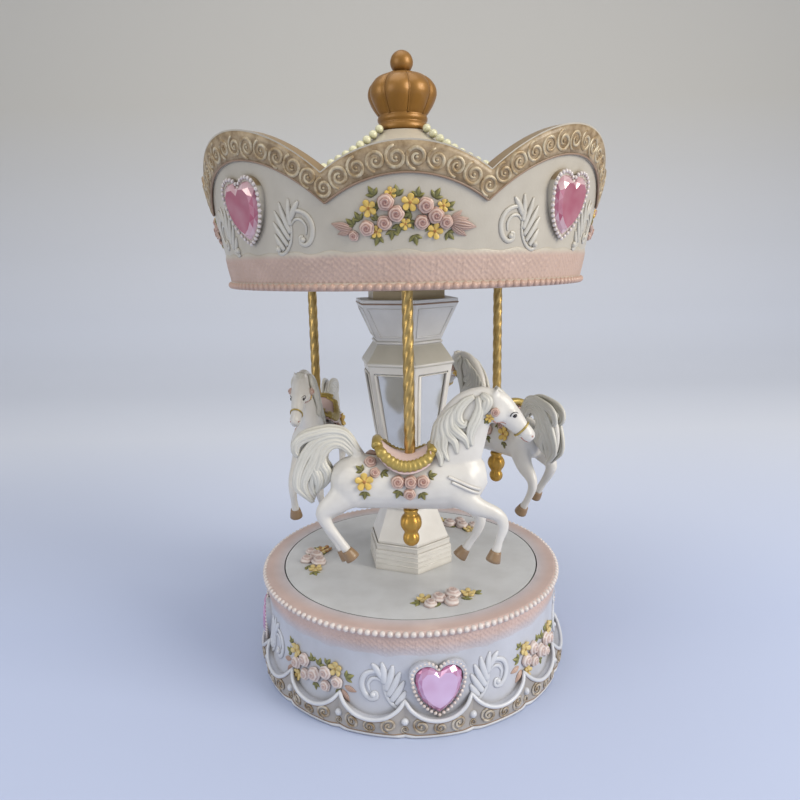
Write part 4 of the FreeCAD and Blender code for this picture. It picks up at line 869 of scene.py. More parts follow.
# The ivory with brown on the scallops' upturned edge and peach at the foot, where height in metres says.
scalloped_resin = lacquer("ivory_lacquered_polyresin_edge_tinted", shaded_canopy_ivory, "#857c6c", 0.36)
tree, coat, place = coat_of(scalloped_resin)
facing = add(tree, "SeparateXYZ", {0: add(tree, "NewGeometry", {}, "Normal")}, "Z")
facing = add(tree, "MapRange", {0: facing, 1: 0.25, 2: 0.4})
height = add(tree, "SeparateXYZ", {0: place}, "Z")
above = add(tree, "MapRange", {0: height, 1: 0.1678, 2: 0.1682})
edge = add(tree, "Math", {"operation": "MULTIPLY", 0: facing, 1: above})
tinted = add(tree, "Mix", {"data_type": "RGBA", 0: edge, 6: linear(shaded_canopy_ivory), 7: linear(edge_colour)}, 2)
foot = add(tree, "MapRange", {0: height, 1: 0.1412, 2: 0.1418})
tinted = add(tree, "Mix", {"data_type": "RGBA", 0: foot, 6: linear(foot_peach), 7: tinted}, 2)
tree.links.new(tinted, coat)
dress(scalloped_resin, "canopy_valance")
canopy_z = 139.5
valance = bowed((59.0, canopy_z), (63.7, canopy_z + 22.75), (69.0, canopy_z + 45.5))
dip, wall_half = 30.6, 0.7
low_scallop, high_scallop = (19.5, 37.5), (25.5, 43.5)


def scallop_edge(azimuth):
    """Height of the valance's upper edge: arcs between the dips, each given by its half angle and its top."""
    local = (azimuth + 45) % 90 - 45
    if abs(local) <= low_scallop[0]:
        half_angle, top = low_scallop
    else:
        local = abs(local) - 45
        half_angle, top = high_scallop
    half = 1.004 * (valance(canopy_z + dip) + wall_half) * sin(radians(half_angle))
    rise = top - dip
    reach = (half * half + rise * rise) / (2 * rise)
    z = 35.0
    for k in range(4):
        x = (valance(canopy_z + z) + wall_half) * sin(radians(local))
        z = top - reach + sqrt(max(reach * reach - min(x * x, half * half), 0))
    return canopy_z + z


# Border ground: cream lacquer rubbed back, warmer than the ivory field; the spirals carry a paler gold.
cream_border = lacquer("cream_lacquer_rubbed", "#b29b7a", "#6d5538", 0.45)
mottled(cream_border, 3.5, "#7f6743", "#b09a78")
border_gold = lacquer("pale_gold_rubbed_over_brown", "#b8a27d", "#5f4628", 0.44, metallic=0.2)
mottled(border_gold, 3.0, "#9a8058", "#c8ba9c")
border_deep, border_rosettes = 7.6, 88
ground, rosettes, lines = Heap(), Heap(), Heap()
strip(ground, valance, lambda a: scallop_edge(a) - border_deep, lambda a: scallop_edge(a) - 0.25,
      lambda a, f: 0.72, 900, 5)
ring = [k * 0.4 for k in range(900)]
hoop(lines, valance, ring, lambda a: scallop_edge(a) - 0.45, 0.42, 0.28)
hoop(lines, valance, ring, lambda a: scallop_edge(a) - border_deep, 0.5, 0.34)
# The rosettes stand at equal steps along the wavy border.
walk = [(0.0, 0.0)]
for k in range(3600):
    a = 0.1 * (k + 1)
    here, before = [stand(valance, b, scallop_edge(b) - 4)[0] for b in (a, a - 0.1)]
    walk.append((a, walk[-1][1] + (here - before).length))
count = 0
for a, gone in walk:
    if gone >= (count + 0.5) * walk[-1][1] / border_rosettes and count < border_rosettes:
        size, hand = 2.7 if count % 3 else 2.95, 1 if count % 2 else -1
        rosette(rosettes, valance, a, scallop_edge(a) - 4.1, size, hand, 0.64)
        count += 1
cast("canopy_border_ground", ground, [cream_border], "carousel")
cast("canopy_border_rosettes", rosettes, [border_gold], "carousel")
cast("canopy_border_lines", lines, [brown_line], "carousel")


# Lace band, bottom pearls, scrolls and stones of the canopy: cast with the valance from the base's own
# models, the stones cut and set like the base's. The lace runs out into the white above it without an edge.
band, beads, carving = Heap(), Heap(), Heap()
foot_radius, swell_tall = 59, 8.4


def lace_top(azimuth):
    """Height of the lace's uneven upper edge."""
    a = radians(azimuth)
    return canopy_z + 10.6 + 0.3 * cos(36 * a) + 0.2 * cos(23 * a + 1)


def lace_swell(azimuth, f):
    """Relief of the lace, which fades out towards its upper edge."""
    net = lace(radians(azimuth) * foot_radius, swell_tall * f - swell_tall / 2)
    return 0.25 * min(1, 8 * (1.02 - f)) + 0.26 * min(1, 4 * (1 - f)) * net


strip(band, valance, lambda a: canopy_z + 1.6, lace_top, lace_swell, 1500, 30)
# Peach-tinted resin: matt and warm, darker in the net's holes as painted shade, brushed out to white at the
# top.
peach = "#c2a797"
peach_lace = lacquer("peach_tinted_resin", peach, "#9d8270", 0.5)
by_height(peach_lace, canopy_z + 8.8, canopy_z + 10.4, peach, shaded_canopy_ivory)
cast("canopy_lace_band", band, [peach_lace], "carousel")
# Peach pearl lacquer: satin, warmer and duller than the rim's pearls, and darker as painted shade, as the row
# faces down.
peach_pearl = lacquer("peach_pearl_lacquer", "#bf9f8d", "#8f7160", 0.36)
canopy_beads, canopy_bead, canopy_bead_ring = 144, 1.08, 59.9
for k in range(canopy_beads):
    bead(beads, around(canopy_bead_ring, k * 360.0 / canopy_beads, canopy_z + 1.1), canopy_bead)
cast("canopy_bottom_pearls", beads, [peach_pearl], "carousel")
canopy_hearts = [45.0 + 90.0 * k for k in range(4)]
canopy_scroll_up, canopy_stone_up = 17.2, 23.0
for azimuth in canopy_hearts:
    scrollwork(carving, valance, azimuth, canopy_z + canopy_scroll_up, 0.95, 1.0)
cast("canopy_scrolls", carving, [ivory_relief], "carousel")
# Rose acrylic: the same cut and foil; its painted reflection makes it redder in the middle and its upper and
# lower facets pale.
rose_stone = stone("foil_backed_rose_acrylic_cut", "#e6c6c6", "#b25468")
heart_stones("canopy_cut_stones", "canopy_heart_stones", valance, canopy_z + canopy_stone_up, canopy_hearts,
             "carousel", rose_stone, 16.1,
             lambda tier, height: 0.85 if tier == 0 else 0.1 if abs(height) > 0.5 else 0.65)


# Flower sprays on the canopy: a fuller arch of roses, blossoms, leaves and ribbon ends under each low
# scallop. They are modelled in the same coloured clay as the base's, and glued on.
canopy_spray = (
    ("rose", -5.4, 2.3, 2.35, 10), ("rose", -2.8, -0.6, 2.3, 70), ("rose", -5.9, -2.8, 2.1, 130),
    ("rose", -10.6, -4.0, 2.2, 30), ("rose", -14.4, -5.9, 1.5, 90), ("rose", 3.9, -2.8, 2.1, 50),
    ("rose", 7.5, -1.2, 2.3, 20), ("rose", 4.8, 1.3, 2.3, 110), ("rose", 10.2, -2.8, 2.0, 60),
    ("blossom", -9.9, 0.9, 2.3, 40), ("blossom", 0.8, 2.1, 2.4, 10), ("blossom", 7.3, -5.1, 2.2, 0),
    ("leaf", -8.3, 3.9, 2.8, 120), ("leaf", -2.3, 3.7, 2.9, 100), ("leaf", 7.1, 3.1, 2.8, 60),
    ("leaf", 10.4, 0.7, 2.6, 35), ("leaf", 1.0, -0.6, 2.8, 200), ("leaf", -2.1, -3.4, 2.8, -100),
    ("leaf", -7.7, -6.1, 2.8, -110), ("leaf", 1.9, -6.1, 2.8, -75), ("leaf", -14.2, -3.2, 2.7, 140),
    ("leaf", 10.8, -5.5, 2.7, -45), ("ribbon", 11.7, -3.0, 7.1, -10), ("ribbon", 11.6, -2.4, 3.8, 40),
    ("ribbon", 11.7, -2.8, 4.8, 10), ("ribbon", 11.7, -3.6, 5.2, -34), ("ribbon", -14.8, -4.2, 5.8, 164),
    ("ribbon", -15.0, -4.6, 4.0, 192), ("leaf", -7.4, 0.8, 2.4, 150), ("leaf", 2.7, 3.4, 2.6, 80),
    ("leaf", 5.7, -3.6, 2.4, -60), ("leaf", -12.4, -2.0, 2.6, 120), ("leaf", -4.0, -4.8, 2.6, -95),
    ("leaf", -8.2, -2.2, 2.2, 90), ("leaf", 0.6, -2.6, 2.4, -60), ("blossom", -8.2, -5.0, 1.7, 20),
    ("blossom", -0.4, -3.2, 1.6, 50), ("blossom", 9.4, 1.2, 1.7, 10), ("blossom", -4.0, 4.5, 1.6, 30))
flowers = Heap()
canopy_spray_up = 20.5
for k in range(4):
    spray(flowers, valance, 90.0 * k, canopy_z + canopy_spray_up, canopy_spray)
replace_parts(cast("canopy_sprays", flowers, flower_clays, "carousel"),
            "canopy_flower_sprays")


# Pearl strands: glass beads threaded and laid down the roof's four ridges.
# The roof is a thin tent of the same white resin.
# Pearl coat on glass: creamy yellow, glossy, with a small sharp highlight on each bead.
cream_pearl = lacquer("pearl_coated_glass_bead", "#dad8b6", "#a8a47c", 0.2)
crown_top = 189.9
slope_steps = 1000
slope = arc((8.7, crown_top), (32.6, 175.55), (56.5, 167.0), slope_steps)
strand_beads, strand_bead, strand_lift = 15, 1.4, 1.46
beads = Heap()
for k in range(4):
    for j in range(strand_beads):
        n = int(slope_steps * (0.035 + 0.93 * j / (strand_beads - 1)))
        (r, z), (further, lower) = slope[n], slope[n + 1]
        steep = atan2(z - lower, further - r)
        at = around(r + strand_lift * sin(steep), 45 + 90 * k, z + strand_lift * cos(steep))
        bead(beads, at, strand_bead, rings=10, sides=16)
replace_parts(cast("roof_pearls", beads, [cream_pearl], "carousel"), "pearl_strands")


# Crown finial: a gadrooned bulb under a ball, cast in resin and painted antique gold.
# It stands on top of the roof, over the drive rod's nut.
crown = Heap()
crown_foot = ((8.0, 0.0), (8.5, 0.6), (8.6, 1.4), (8.5, 2.2), (8.2, 2.6), (8.0, 2.9), (8.1, 3.2), (8.4, 3.6),
              (8.5, 4.3), (8.3, 4.9))
crown_bulb = ((8.2, 5.3, 0.4), (8.9, 6.1, 0.7), (10.3, 8.2, 1.0), (11.4, 10.6, 1.0), (11.7, 12.3, 1.0),
              (11.4, 14.0, 1.0), (10.6, 15.4, 1.0), (9.0, 17.0, 0.9), (6.4, 18.2, 0.7), (3.9, 18.9, 0.3),
              (2.6, 19.1, 0.0))
crown_neck = ((2.5, 19.6), (2.4, 20.3), (2.2, 20.7))
profile = [(r, z, 0.0) for r, z in crown_foot] + smooth(crown_bulb, 4) + [(r, z, 0.0) for r, z in crown_neck]
crown_lobes, lobe_start, ball_radius, ball_z = 8, 12.5, 3.83, 212.15
turned(crown, profile, 96, lobe_start, crown_lobes, 0.09, Vector((0, 0, crown_top)))
bead(crown, Vector((0, 0, ball_z)), ball_radius, rings=20, sides=28)
for k in range(crown_lobes):
    a = lobe_start + 360 / crown_lobes * k
    line = [(around(r * (1 - 0.08 * lobed), a, crown_top + z), around(1, a))
            for r, z, lobed in profile[11:-8]]
    roll(crown, line, lambda f: 0.34 - 0.14 * f, 1.0, 8)
# Antique gold paint: a deep brown-gold metallic film, warmer and glossier than the border's.
crown_gold = lacquer("antique_gold_metallic_paint", "#966a29", "#442b10", 0.44, metallic=0.45)
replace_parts(cast("crown_bulb", crown, [crown_gold], "carousel"), "crown_finial")


# Poles and drops: brass-plated steel rod twisted like barley sugar, glued into the ceiling's sockets.
# Each runs down through its horse into a turned and fluted double ball.
# Brass and gold plate: bright yellow metal, softened by fine marks and a little tarnish.
pole_brass = metal("brass_plate_twisted", "#c9a969", 0.32, 0.4)
ball_gold = metal("gold_plate_turned", "#c79c4c", 0.36, 0.4, 0.8)
pole_radius, pole_foot, pole_top, pole_pitch = 1.75, 66.0, 147.5, 4.6
pole_rows, pole_sides = 200, 24
pole_points = []
for i in range(pole_rows + 1):
    z = pole_foot + (pole_top - pole_foot) * i / pole_rows
    for j in range(pole_sides):
        a = 2 * pi * j / pole_sides
        wound = abs(cos(2 * a - pi * z / pole_pitch))
        reach = pole_radius * (0.85 + 0.15 * wound ** 0.8)
        pole_points.append(Vector((reach * cos(a), reach * sin(a), z)))
pole = Heap()
pole.take(pole_points, faces_round(pole_rows + 1, pole_sides))
pole_mesh = pole.mesh("twisted_pole", [pole_brass])


def ball(radius, z, first, last):
    """Rows of a fluted ball between two angles from its top."""
    angles = [radians(a) for a in range(first, last, 8)]
    return [(radius * sin(a), z + radius * cos(a), sin(a)) for a in angles]


drop = Heap()
collar = [(1.2, 71.0, 0), (2.3, 70.9, 0), (2.4, 70.4, 0), (2.2, 69.9, 0)]
turned(drop, collar + ball(3.5, 66.35, 36, 133) + ball(2.7, 61.08, 48, 177), 48, 0.0, 8, 0.08)
drop_mesh = drop.mesh("fluted_ball_drop", [ball_gold])
pole_circle = 41.4
horse_azimuths, horse_yaws = (0.0, 120.0, 240.0), (0.0, 0.0, 25.0)
for k, azimuth in enumerate(horse_azimuths):
    at = Matrix.Translation(around(0.001 * pole_circle, azimuth))
    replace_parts(piece("twisted_pole_%d" % (k + 1), pole_mesh, "carousel", at), "pole_%d" % (k + 1))
    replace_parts(piece("fluted_drop_%d" % (k + 1), drop_mesh, "carousel", at),
                "pole_finial_%d" % (k + 1))


# Horses: three jumpers cast in resin from one model, pearl lacquered like the base, each pierced by its pole.
# Sections are in hundredths of the body's length, from the pole at belly height.
horse_unit, skin_mm = 0.74, 0.5


def limb(heap, sections, sides=20, steps=5):
    """Body or limb through oval sections: x forward, y to its left, z up, half width, half depth."""
    rows = smooth(sections, steps)
    points = []
    for k, row in enumerate(rows):
        before, after = Vector(rows[max(k - 1, 0)][:3]), Vector(rows[min(k + 1, len(rows) - 1)][:3])
        along = (after - before).normalized()
        across = (Vector((0, 1, 0)) - along * along.y).normalized()
        deep = along.cross(across)
        for j in range(sides):
            a = 2 * pi * j / sides
            at = Vector(row[:3]) + across * (row[3] * cos(a)) + deep * (row[4] * sin(a))
            points.append(at * horse_unit)
    heap.take(points, faces_round(len(rows), sides))


def swell(heap, x, y, z, radius, stretch=(1, 1, 1)):
    """Muscle or bone that swells the body."""
    bead(heap, Vector((x, y, z)) * horse_unit, radius * horse_unit, rings=10, sides=16, stretch=stretch)


trunk = (
    (-33.5, 0, 11.6, 3.2, 4.4), (-31, 0, 11.8, 7.2, 8.2), (-22, 0, 12.6, 10.2, 11.6),
    (-8, 0, 11.3, 9.8, 10.7), (5, 0, 11, 10.0, 11.0), (17.5, 0, 12.2, 9.7, 12.2),
    (26.5, 0, 14.2, 7.6, 10.4), (32, 0, 15, 3.4, 4.8))
neck = (
    (14, 0, 13, 7.4, 12), (20.5, 0, 26, 6.2, 10.4), (25.5, 0, 37, 4.8, 8.2), (31, 0, 46, 3.8, 6.0))
head = (
    (29.5, 0, 47.8, 3.2, 4.2), (35.6, 0, 44.6, 4.1, 6.3), (41.2, 0, 40.0, 3.3, 5.1),
    (46.0, 0, 34.6, 2.7, 3.8), (49.4, 0, 31.0, 2.5, 3.2), (51.0, 0, 29.0, 1.7, 2.0))
body = Heap()
for sections in (trunk, neck, head):
    limb(body, sections)
for side in (-1, 1):
    swell(body, 35.4, 2.3 * side, 41.4, 4.6, (1, 0.55, 1))
    swell(body, 42.0, 2.7 * side, 41.6, 1.7, (1.3, 0.7, 0.8))
    swell(body, 49.4, 1.9 * side, 31.8, 1.2, (1, 0.8, 1))
    swell(body, 22.0, 5.0 * side, 12.0, 7.0, (1, 0.6, 1.2))
    swell(body, -24.0, 5.2 * side, 12.0, 8.6, (1, 0.6, 1.1))
    ear = ((33.6, 2.0 * side, 46.0, 1.6, 1.4), (34.8, 2.4 * side, 49.0, 1.5, 0.9),
           (36.8, 2.6 * side, 52.4, 0.4, 0.3))
    limb(body, ear, 10, 3)
off_hind = (
    (-25, -5, 10, 4.6, 7.6), (-31, -5.8, 5.6, 3.8, 5.4), (-36.6, -6.2, 1.0, 2.8, 3.4),
    (-35.2, -6.2, -4.2, 2.2, 2.6), (-31, -6.2, -10.4, 1.8, 2.0), (-27, -6.2, -16.4, 2.0, 2.1))
near_hind = (
    (-25, 5, 10, 4.6, 7.4), (-30, 6, 1.5, 3.6, 5.0), (-36.5, 6.2, -5.0, 2.5, 3.0),
    (-36.5, 6.2, -10.5, 2.0, 2.3), (-33, 6.2, -17, 1.7, 1.8), (-30.2, 6.2, -21.4, 2.1, 2.2))
off_fore = (
    (18, -5, 9, 4.4, 6.6), (27, -5.8, 2.6, 3.2, 4.2), (36, -5.8, -1.6, 2.5, 3.0),
    (38.6, -5.8, -6.5, 2.1, 2.5), (37, -5.8, -13, 1.7, 1.8), (35.4, -5.8, -18.6, 2.1, 2.2))
near_fore = (
    (18, 5, 9, 4.4, 6.6), (24.8, 5.8, 0.4, 3.2, 4.0), (30, 5.8, -6.4, 2.4, 2.8),
    (29.6, 5.8, -12, 2.0, 2.3), (26.4, 5.8, -17.6, 1.7, 1.8), (23.4, 5.8, -22.0, 2.1, 2.2))
crest = (
    (36, 0, 49.0, 1.4, 1.6), (30, 0, 49.4, 2.4, 2.8), (23, 0, 46.0, 3.0, 4.2), (17.5, 0, 39.4, 3.2, 5.0),
    (14, 0, 31.5, 3.0, 4.6), (12, 0, 23.5, 1.8, 2.6))
tail = (
    (-19, 0, 19, 2.4, 2.8), (-25, 0, 28.6, 2.4, 2.8), (-32.5, 0, 32, 2.4, 3.2),
    (-39.5, 0, 29.5, 2.5, 4.0), (-42.5, 0, 22, 2.6, 5.2), (-42.6, 0, 14, 2.4, 5.4),
    (-42.2, 0, 8, 1.8, 3.4), (-41.4, 0, 4.4, 0.8, 1.2))
for sections in (off_hind, near_hind, off_fore, near_fore, crest, tail):
    limb(body, sections)
rough = show("horse_rough", body.mesh("horse_rough", []))
remesh = rough.modifiers.new("one_skin", "REMESH")
remesh.mode = "VOXEL"
remesh.voxel_size = 0.001 * skin_mm
worked = rough.modifiers.new("worked_smooth", "SMOOTH")
worked.factor = 0.5
worked.iterations = 7
bpy.context.view_layer.update()
horse_mesh = bpy.data.meshes.new_from_object(rough.evaluated_get(bpy.context.evaluated_depsgraph_get()))
bpy.data.objects.remove(rough)
horse_mesh.name = "horse_casting"
horse_mesh.materials.clear()
horse_mesh.materials.append(pearl_resin)
horse_mesh.polygons.foreach_set("use_smooth", [True] * len(horse_mesh.polygons))
skin = BVHTree.FromPolygons([v.co * 1000 for v in horse_mesh.vertices],
                            [p.vertices for p in horse_mesh.polygons])


def flank(x, z, side, lift=0.0):
    """Point on the horse seen from one side, mm from the pole at belly height, and the outward direction."""
    at, normal = skin.ray_cast(Vector((x, 60.0 * side, z)), Vector((0, -side, 0)))[:2]
    if at is None:
        at, normal = skin.find_nearest(Vector((x, 3.0 * side, z)))[:2]
    normal = (normal + Vector((0, 0.6 * side, 0))).normalized()
    return at + normal * lift, normal


# Mane and tail: long curling locks cut into the same casting, three ridged strands to a lock.
# Their places are in mm from the pole at belly height, seen from the side.
# Pearl lacquer on the hair: the same milky white, with grey-green painted shade between the strands.
hair_resin = lacquer("pearl_lacquered_polyresin_strand_shaded", "#cfcdc3", "#a9a694", 0.4)
hair = Heap()
mane_locks = (
    ((20.8, 35.8), (21.2, 32.6), (20.2, 29.4), (18.8, 26.6), (18.2, 23.9), (18.8, 21.0)),
    ((19.6, 35.8), (16.8, 34.2), (14.7, 31.4), (14.8, 28.6), (16.4, 27.4), (17.3, 28.8)),
    ((17.5, 34.6), (14.0, 32.2), (12.6, 29.2), (13.2, 26.5), (15.0, 24.7), (16.8, 23.0), (17.6, 20.2)),
    ((15.8, 33.4), (12.2, 30.8), (11.0, 27.4), (11.7, 24.4), (13.6, 22.2), (14.2, 18.8)),
    ((13.8, 31.6), (10.7, 29.2), (9.8, 26.0), (10.4, 23.0), (10.2, 19.8), (11.6, 16.6)),
    ((11.6, 29.6), (9.2, 27.0), (8.6, 23.8), (8.2, 20.8), (9.2, 17.8), (9.2, 15.0)),
    ((21.8, 36.4), (23.6, 34.8), (23.0, 32.4), (21.6, 30.2)))
tail_locks = (
    ((-15.4, 18.2), (-19.4, 24.4), (-23.8, 25.8), (-28.0, 25.2), (-32.4, 23.9), (-34.8, 21.8), (-35.0, 19.2),
     (-33.4, 18.1), (-32.2, 19.4)),
    ((-15.6, 17.4), (-19.8, 23.2), (-24.0, 24.2), (-28.2, 23.0), (-31.2, 20.0), (-33.4, 16.2), (-35.0, 11.8),
     (-35.2, 8.0), (-32.8, 5.0), (-30.8, 2.8)),
    ((-16.0, 16.8), (-20.2, 22.0), (-24.2, 22.8), (-27.8, 20.6), (-29.6, 16.8), (-31.8, 12.8), (-33.2, 9.0),
     (-32.2, 5.6), (-30.4, 3.0)),
    ((-16.4, 16.4), (-20.6, 21.0), (-24.0, 21.6), (-26.8, 19.2), (-28.0, 16.0), (-29.6, 12.0), (-30.6, 8.6),
     (-29.8, 5.2)),
    ((-24.4, 21.2), (-27.0, 18.6), (-27.0, 15.4), (-25.6, 12.6), (-26.4, 9.6), (-28.4, 7.0)),
    ((-30.4, 19.0), (-29.8, 15.0), (-28.4, 11.4), (-28.4, 8.6), (-29.4, 6.0)))
for side in (-1, 1):
    for lock in mane_locks + tail_locks:
        path = smooth(lock, 4)
        last = len(path) - 1
        for strand in (-1, 0, 1):
            line = []
            for k, (x, z) in enumerate(path):
                f = k / last
                ahead, behind = path[min(k + 1, last)], path[max(k - 1, 0)]
                way = atan2(ahead[1] - behind[1], ahead[0] - behind[0])
                spread = 0.85 * strand * sin(pi * (0.12 + 0.83 * f))
                x, z = x - spread * sin(way), z + spread * cos(way)
                proud = 0.5 * sin(pi * f) - 0.18 * abs(strand)
                if lock in mane_locks:
                    line.append(flank(x, z, side, 0.2 + proud))
                else:
                    wide = 1.0 + 0.8 * sin(pi * f) + proud
                    line.append((Vector((x, side * wide, z)), Vector((0, side, 0))))
            roll(hair, line, lambda f: 0.22 + 0.62 * sin(pi * (0.12 + 0.84 * f)), 0.9, 8)
for lean, reach in ((-0.5, 1.0), (0.1, 1.15), (0.6, 0.95)):
    line = []
    for j in range(10):
        t = j / 9
        at = Vector((36.0 + 5.5 * t * reach, 1.6 * lean, 51.0 - 1.0 * t - 5.5 * t * t)) * horse_unit
        line.append((at, Vector((0.5, lean, 0.8)).normalized()))
    roll(hair, line, lambda f: 0.9 - 0.7 * f, 0.8, 8)
hair_mesh = hair.mesh("horse_hair", [hair_resin])


# Saddle and tack: cast on the horse and painted; a pink seat in a broad gold scalloped rim with a pink
# edge below it, a gold noseband, and a breast strap left pearl white.
tack = Heap()
seat_rows, seat_columns, seat_deep = 16, 13, 2.6
seat_back, seat_long, seat_middle = -9.2, 15.6, -1.2


def seat_rise(x):
    """Rise of the saddle towards its cantle and its horn."""
    bow = (x - seat_middle) / 8.4
    return (5.2 if bow < 0 else 3.6) * abs(bow) ** 2.1


seat = []
for i in range(seat_rows + 1):
    x = seat_back + seat_long * i / seat_rows
    for j in range(seat_columns):
        t = 2 * j / (seat_columns - 1) - 1
        y = (6.6 - 0.02 * (x - seat_middle) ** 2) * t
        seat.append(Vector((x, y, 18.3 + 0.9 * seat_rise(x) - 1.7 * t * t)))
faces = []
for i in range(seat_rows):
    for j in range(seat_columns - 1):
        a = i * seat_columns + j
        faces.append((a, a + 1, a + seat_columns + 1, a + seat_columns))
count = len(seat)
faces += [tuple(k + count for k in reversed(face)) for face in faces]
right, left = seat_columns - 1, seat_rows * seat_columns
rim = list(range(right)) + list(range(right, left + right, seat_columns))
rim += list(range(left + right, left, -1)) + list(range(left, 0, -seat_columns))
for k, a in enumerate(rim):
    b = rim[(k + 1) % len(rim)]
    faces.append((a, b, b + count, a + count))
tack.take(seat + [p - Vector((0, 0, seat_deep)) for p in seat], faces, paint=1)
for side in (-1, 1):
    for fall, proud, half, bulge, paint in ((0.0, 0.0, 1.75, 0.14, 0), (1.9, 0.3, 0.55, 0.0, 1)):
        line = []
        for k in range(72):
            t = k / 71
            x = -10.0 + 16.6 * t
            wide = 7.2 + proud - 0.026 * (x - seat_middle) ** 2 - 2.6 * max(0, abs(t - 0.5) * 2 - 0.86) / 0.14
            at = Vector((x, side * wide, 15.9 - fall + seat_rise(x)))
            line.append((at, Vector((0, side, 0.45)).normalized()))
        roll(tack, line, lambda f: (half * (0.86 + 0.14 * sin(pi * f))
                                    + bulge * cos(2 * pi * 12 * f)), 0.62, 12, paint)
    for ridge in (((11.4, 12.2), (15.5, 10.2), (21.3, 7.4)), ((12.4, 10.6), (17.0, 8.2), (20.8, 6.2))):
        roll(tack, [flank(x, z, side, 0.15) for x, z in smooth(ridge, 8)], 0.5, 0.8, 8, 2)
for x, z, wide in ((-10.2, 21.6, 4.4), (6.8, 19.4, 4.2)):
    line = [(Vector((x, wide * t / 6, z + 0.9 * (1 - (t / 6) ** 2))), Vector((0, 0, 1)))
            for t in range(-6, 7)]
    roll(tack, line, 1.5, 0.9, 10)
noseband = 2.75
line = []
for k in range(32):
    a = 2 * pi * k / 32
    out = Vector((sin(a) * 0.85, cos(a), sin(a) * 0.85)).normalized()
    reach = Vector((sin(a), cos(a), sin(a))) * noseband
    line.append((Vector((46.6, 0, 33.8)) * horse_unit + reach * horse_unit, out))
roll(tack, line, 0.34, closed=True)
# Gold and dusty pink paint laid on by brush: the gold a soft metallic film, the pink satin.
tack_gold = lacquer("gold_paint_brushed", "#b19a52", "#684f24", 0.38, metallic=0.45)
seat_pink = lacquer("dusty_pink_paint_brushed", "#dcc3bd", "#a8847c", 0.45)
tack_mesh = tack.mesh("horse_tack", [tack_gold, seat_pink, pearl_resin])


# Hooves, eyes and muzzle lines: details of the casting that are picked out by brush, with a line of painted
# shade under the jaw.
# Each place is on the lofted body, so the paint sits on it as a thin skin.
marks = Heap()
hoof_sizes = (2.3, 2.5, 2.75, 3.05, 3.2, 2.9)
for x, y, z, lean in ((-27.2, -6.2, -16.2, 2.8), (-30.5, 6.2, -21.2, 2.8), (35.5, -5.8, -18.2, -1.2),
                      (23.5, 5.8, -21.8, -3.0)):
    top, down = Vector((x, y, z)) * horse_unit, Vector((lean, 0, -4.2)).normalized()
    line = [(top + down * (d * horse_unit), Vector((0, 1, 0))) for d in (-0.5, 0.2, 1.4, 2.8, 4.1, 4.2)]
    roll(marks, line, lambda f: hoof_sizes[round(f * 5)] * horse_unit, 1.0, 16)
eye_x, eye_z = 32.0, 29.7
for side in (-1, 1):
    at, out = flank(eye_x, eye_z, side)
    bead(marks, at - out * 0.25, 0.75, 1, stretch=(1.1, 0.8, 1.0))
    lid = [radians(a) for a in range(35, 200, 15)]
    lid = [flank(eye_x + 1.3 * cos(a), eye_z + 1.15 * sin(a), side, 0.04) for a in lid]
    roll(marks, lid, lambda f: 0.08 + 0.12 * f, 1.0, 6, 1)
    at, out = flank(37.6, 22.9, side)
    bead(marks, at - out * 0.3, 0.55, 2, stretch=(1, 0.8, 0.8))
    # The second line runs along the jaw as painted shade; the mouth line and nostril are picked out.
    for line in (((34.2, 22.6), (35.2, 21.6), (36.6, 20.9)), ((25.4, 28.4), (26.8, 27.2), (28.8, 26.2))):
        line = [flank(x, z, side, 0.02) for x, z in smooth(line, 4)]
        roll(marks, line, lambda f: 0.3 - 0.15 * f, 0.8, 6, 2)
# Umber-gold hooves with a dull sheen, a wet-looking black eye, a matt rose-brown wash on the muzzle and the
# same rose-brown as painted shade along the jaw.
hoof_paint = lacquer("umber_gold_paint_brushed", "#8f7454", "#54402a", 0.42)
eye_paint = lacquer("black_gloss_enamel_dot", "#26201d", "#0d0b0a", 0.14)
muzzle_paint_and_jaw_shade = lacquer("rose_brown_wash_and_jaw_shade", "#b1887c", "#7a574e", 0.5)
marks_mesh = marks.mesh("horse_marks", [hoof_paint, eye_paint, muzzle_paint_and_jaw_shade])


# Garlands: clay roses, a yellow blossom and leaves, made like the base's sprays.
# They are glued to each flank under the saddle and at the ear, before the horse goes on its pole.
garland = Heap()
for side in (-1, 1):
    for kind, x, z, size, turn in (
            ("rose", -3.9, 10.9, 2.25, 10), ("rose", 0.0, 10.8, 2.25, 80), ("rose", 3.7, 10.9, 2.2, 150),
            ("rose", -0.4, 7.2, 2.0, 60), ("rose", -12.2, 16.4, 2.0, 30), ("rose", -10.8, 13.8, 1.7, 70),
            ("blossom", -14.0, 11.4, 2.9, 20), ("leaf", -14.6, 14.4, 2.6, 140),
            ("leaf", -13.9, 8.2, 2.6, -95), ("leaf", -8.6, 13.8, 2.5, -40), ("leaf", 5.6, 12.4, 2.6, 15),
            ("leaf", -3.6, 8.2, 2.6, -110), ("leaf", 3.2, 7.4, 2.6, -65), ("rose", 25.8, 31.2, 1.5, 0),
            ("blossom", 24.2, 29.4, 1.4, 60), ("leaf", 23.6, 28.8, 2.0, 230)):
        at, out = flank(x, z, side)
        flower(garland, kind, at, out, size, turn if side < 0 else 180 - turn)
garland_mesh = garland.mesh("horse_garland", flower_clays)
belly_z = 71.0
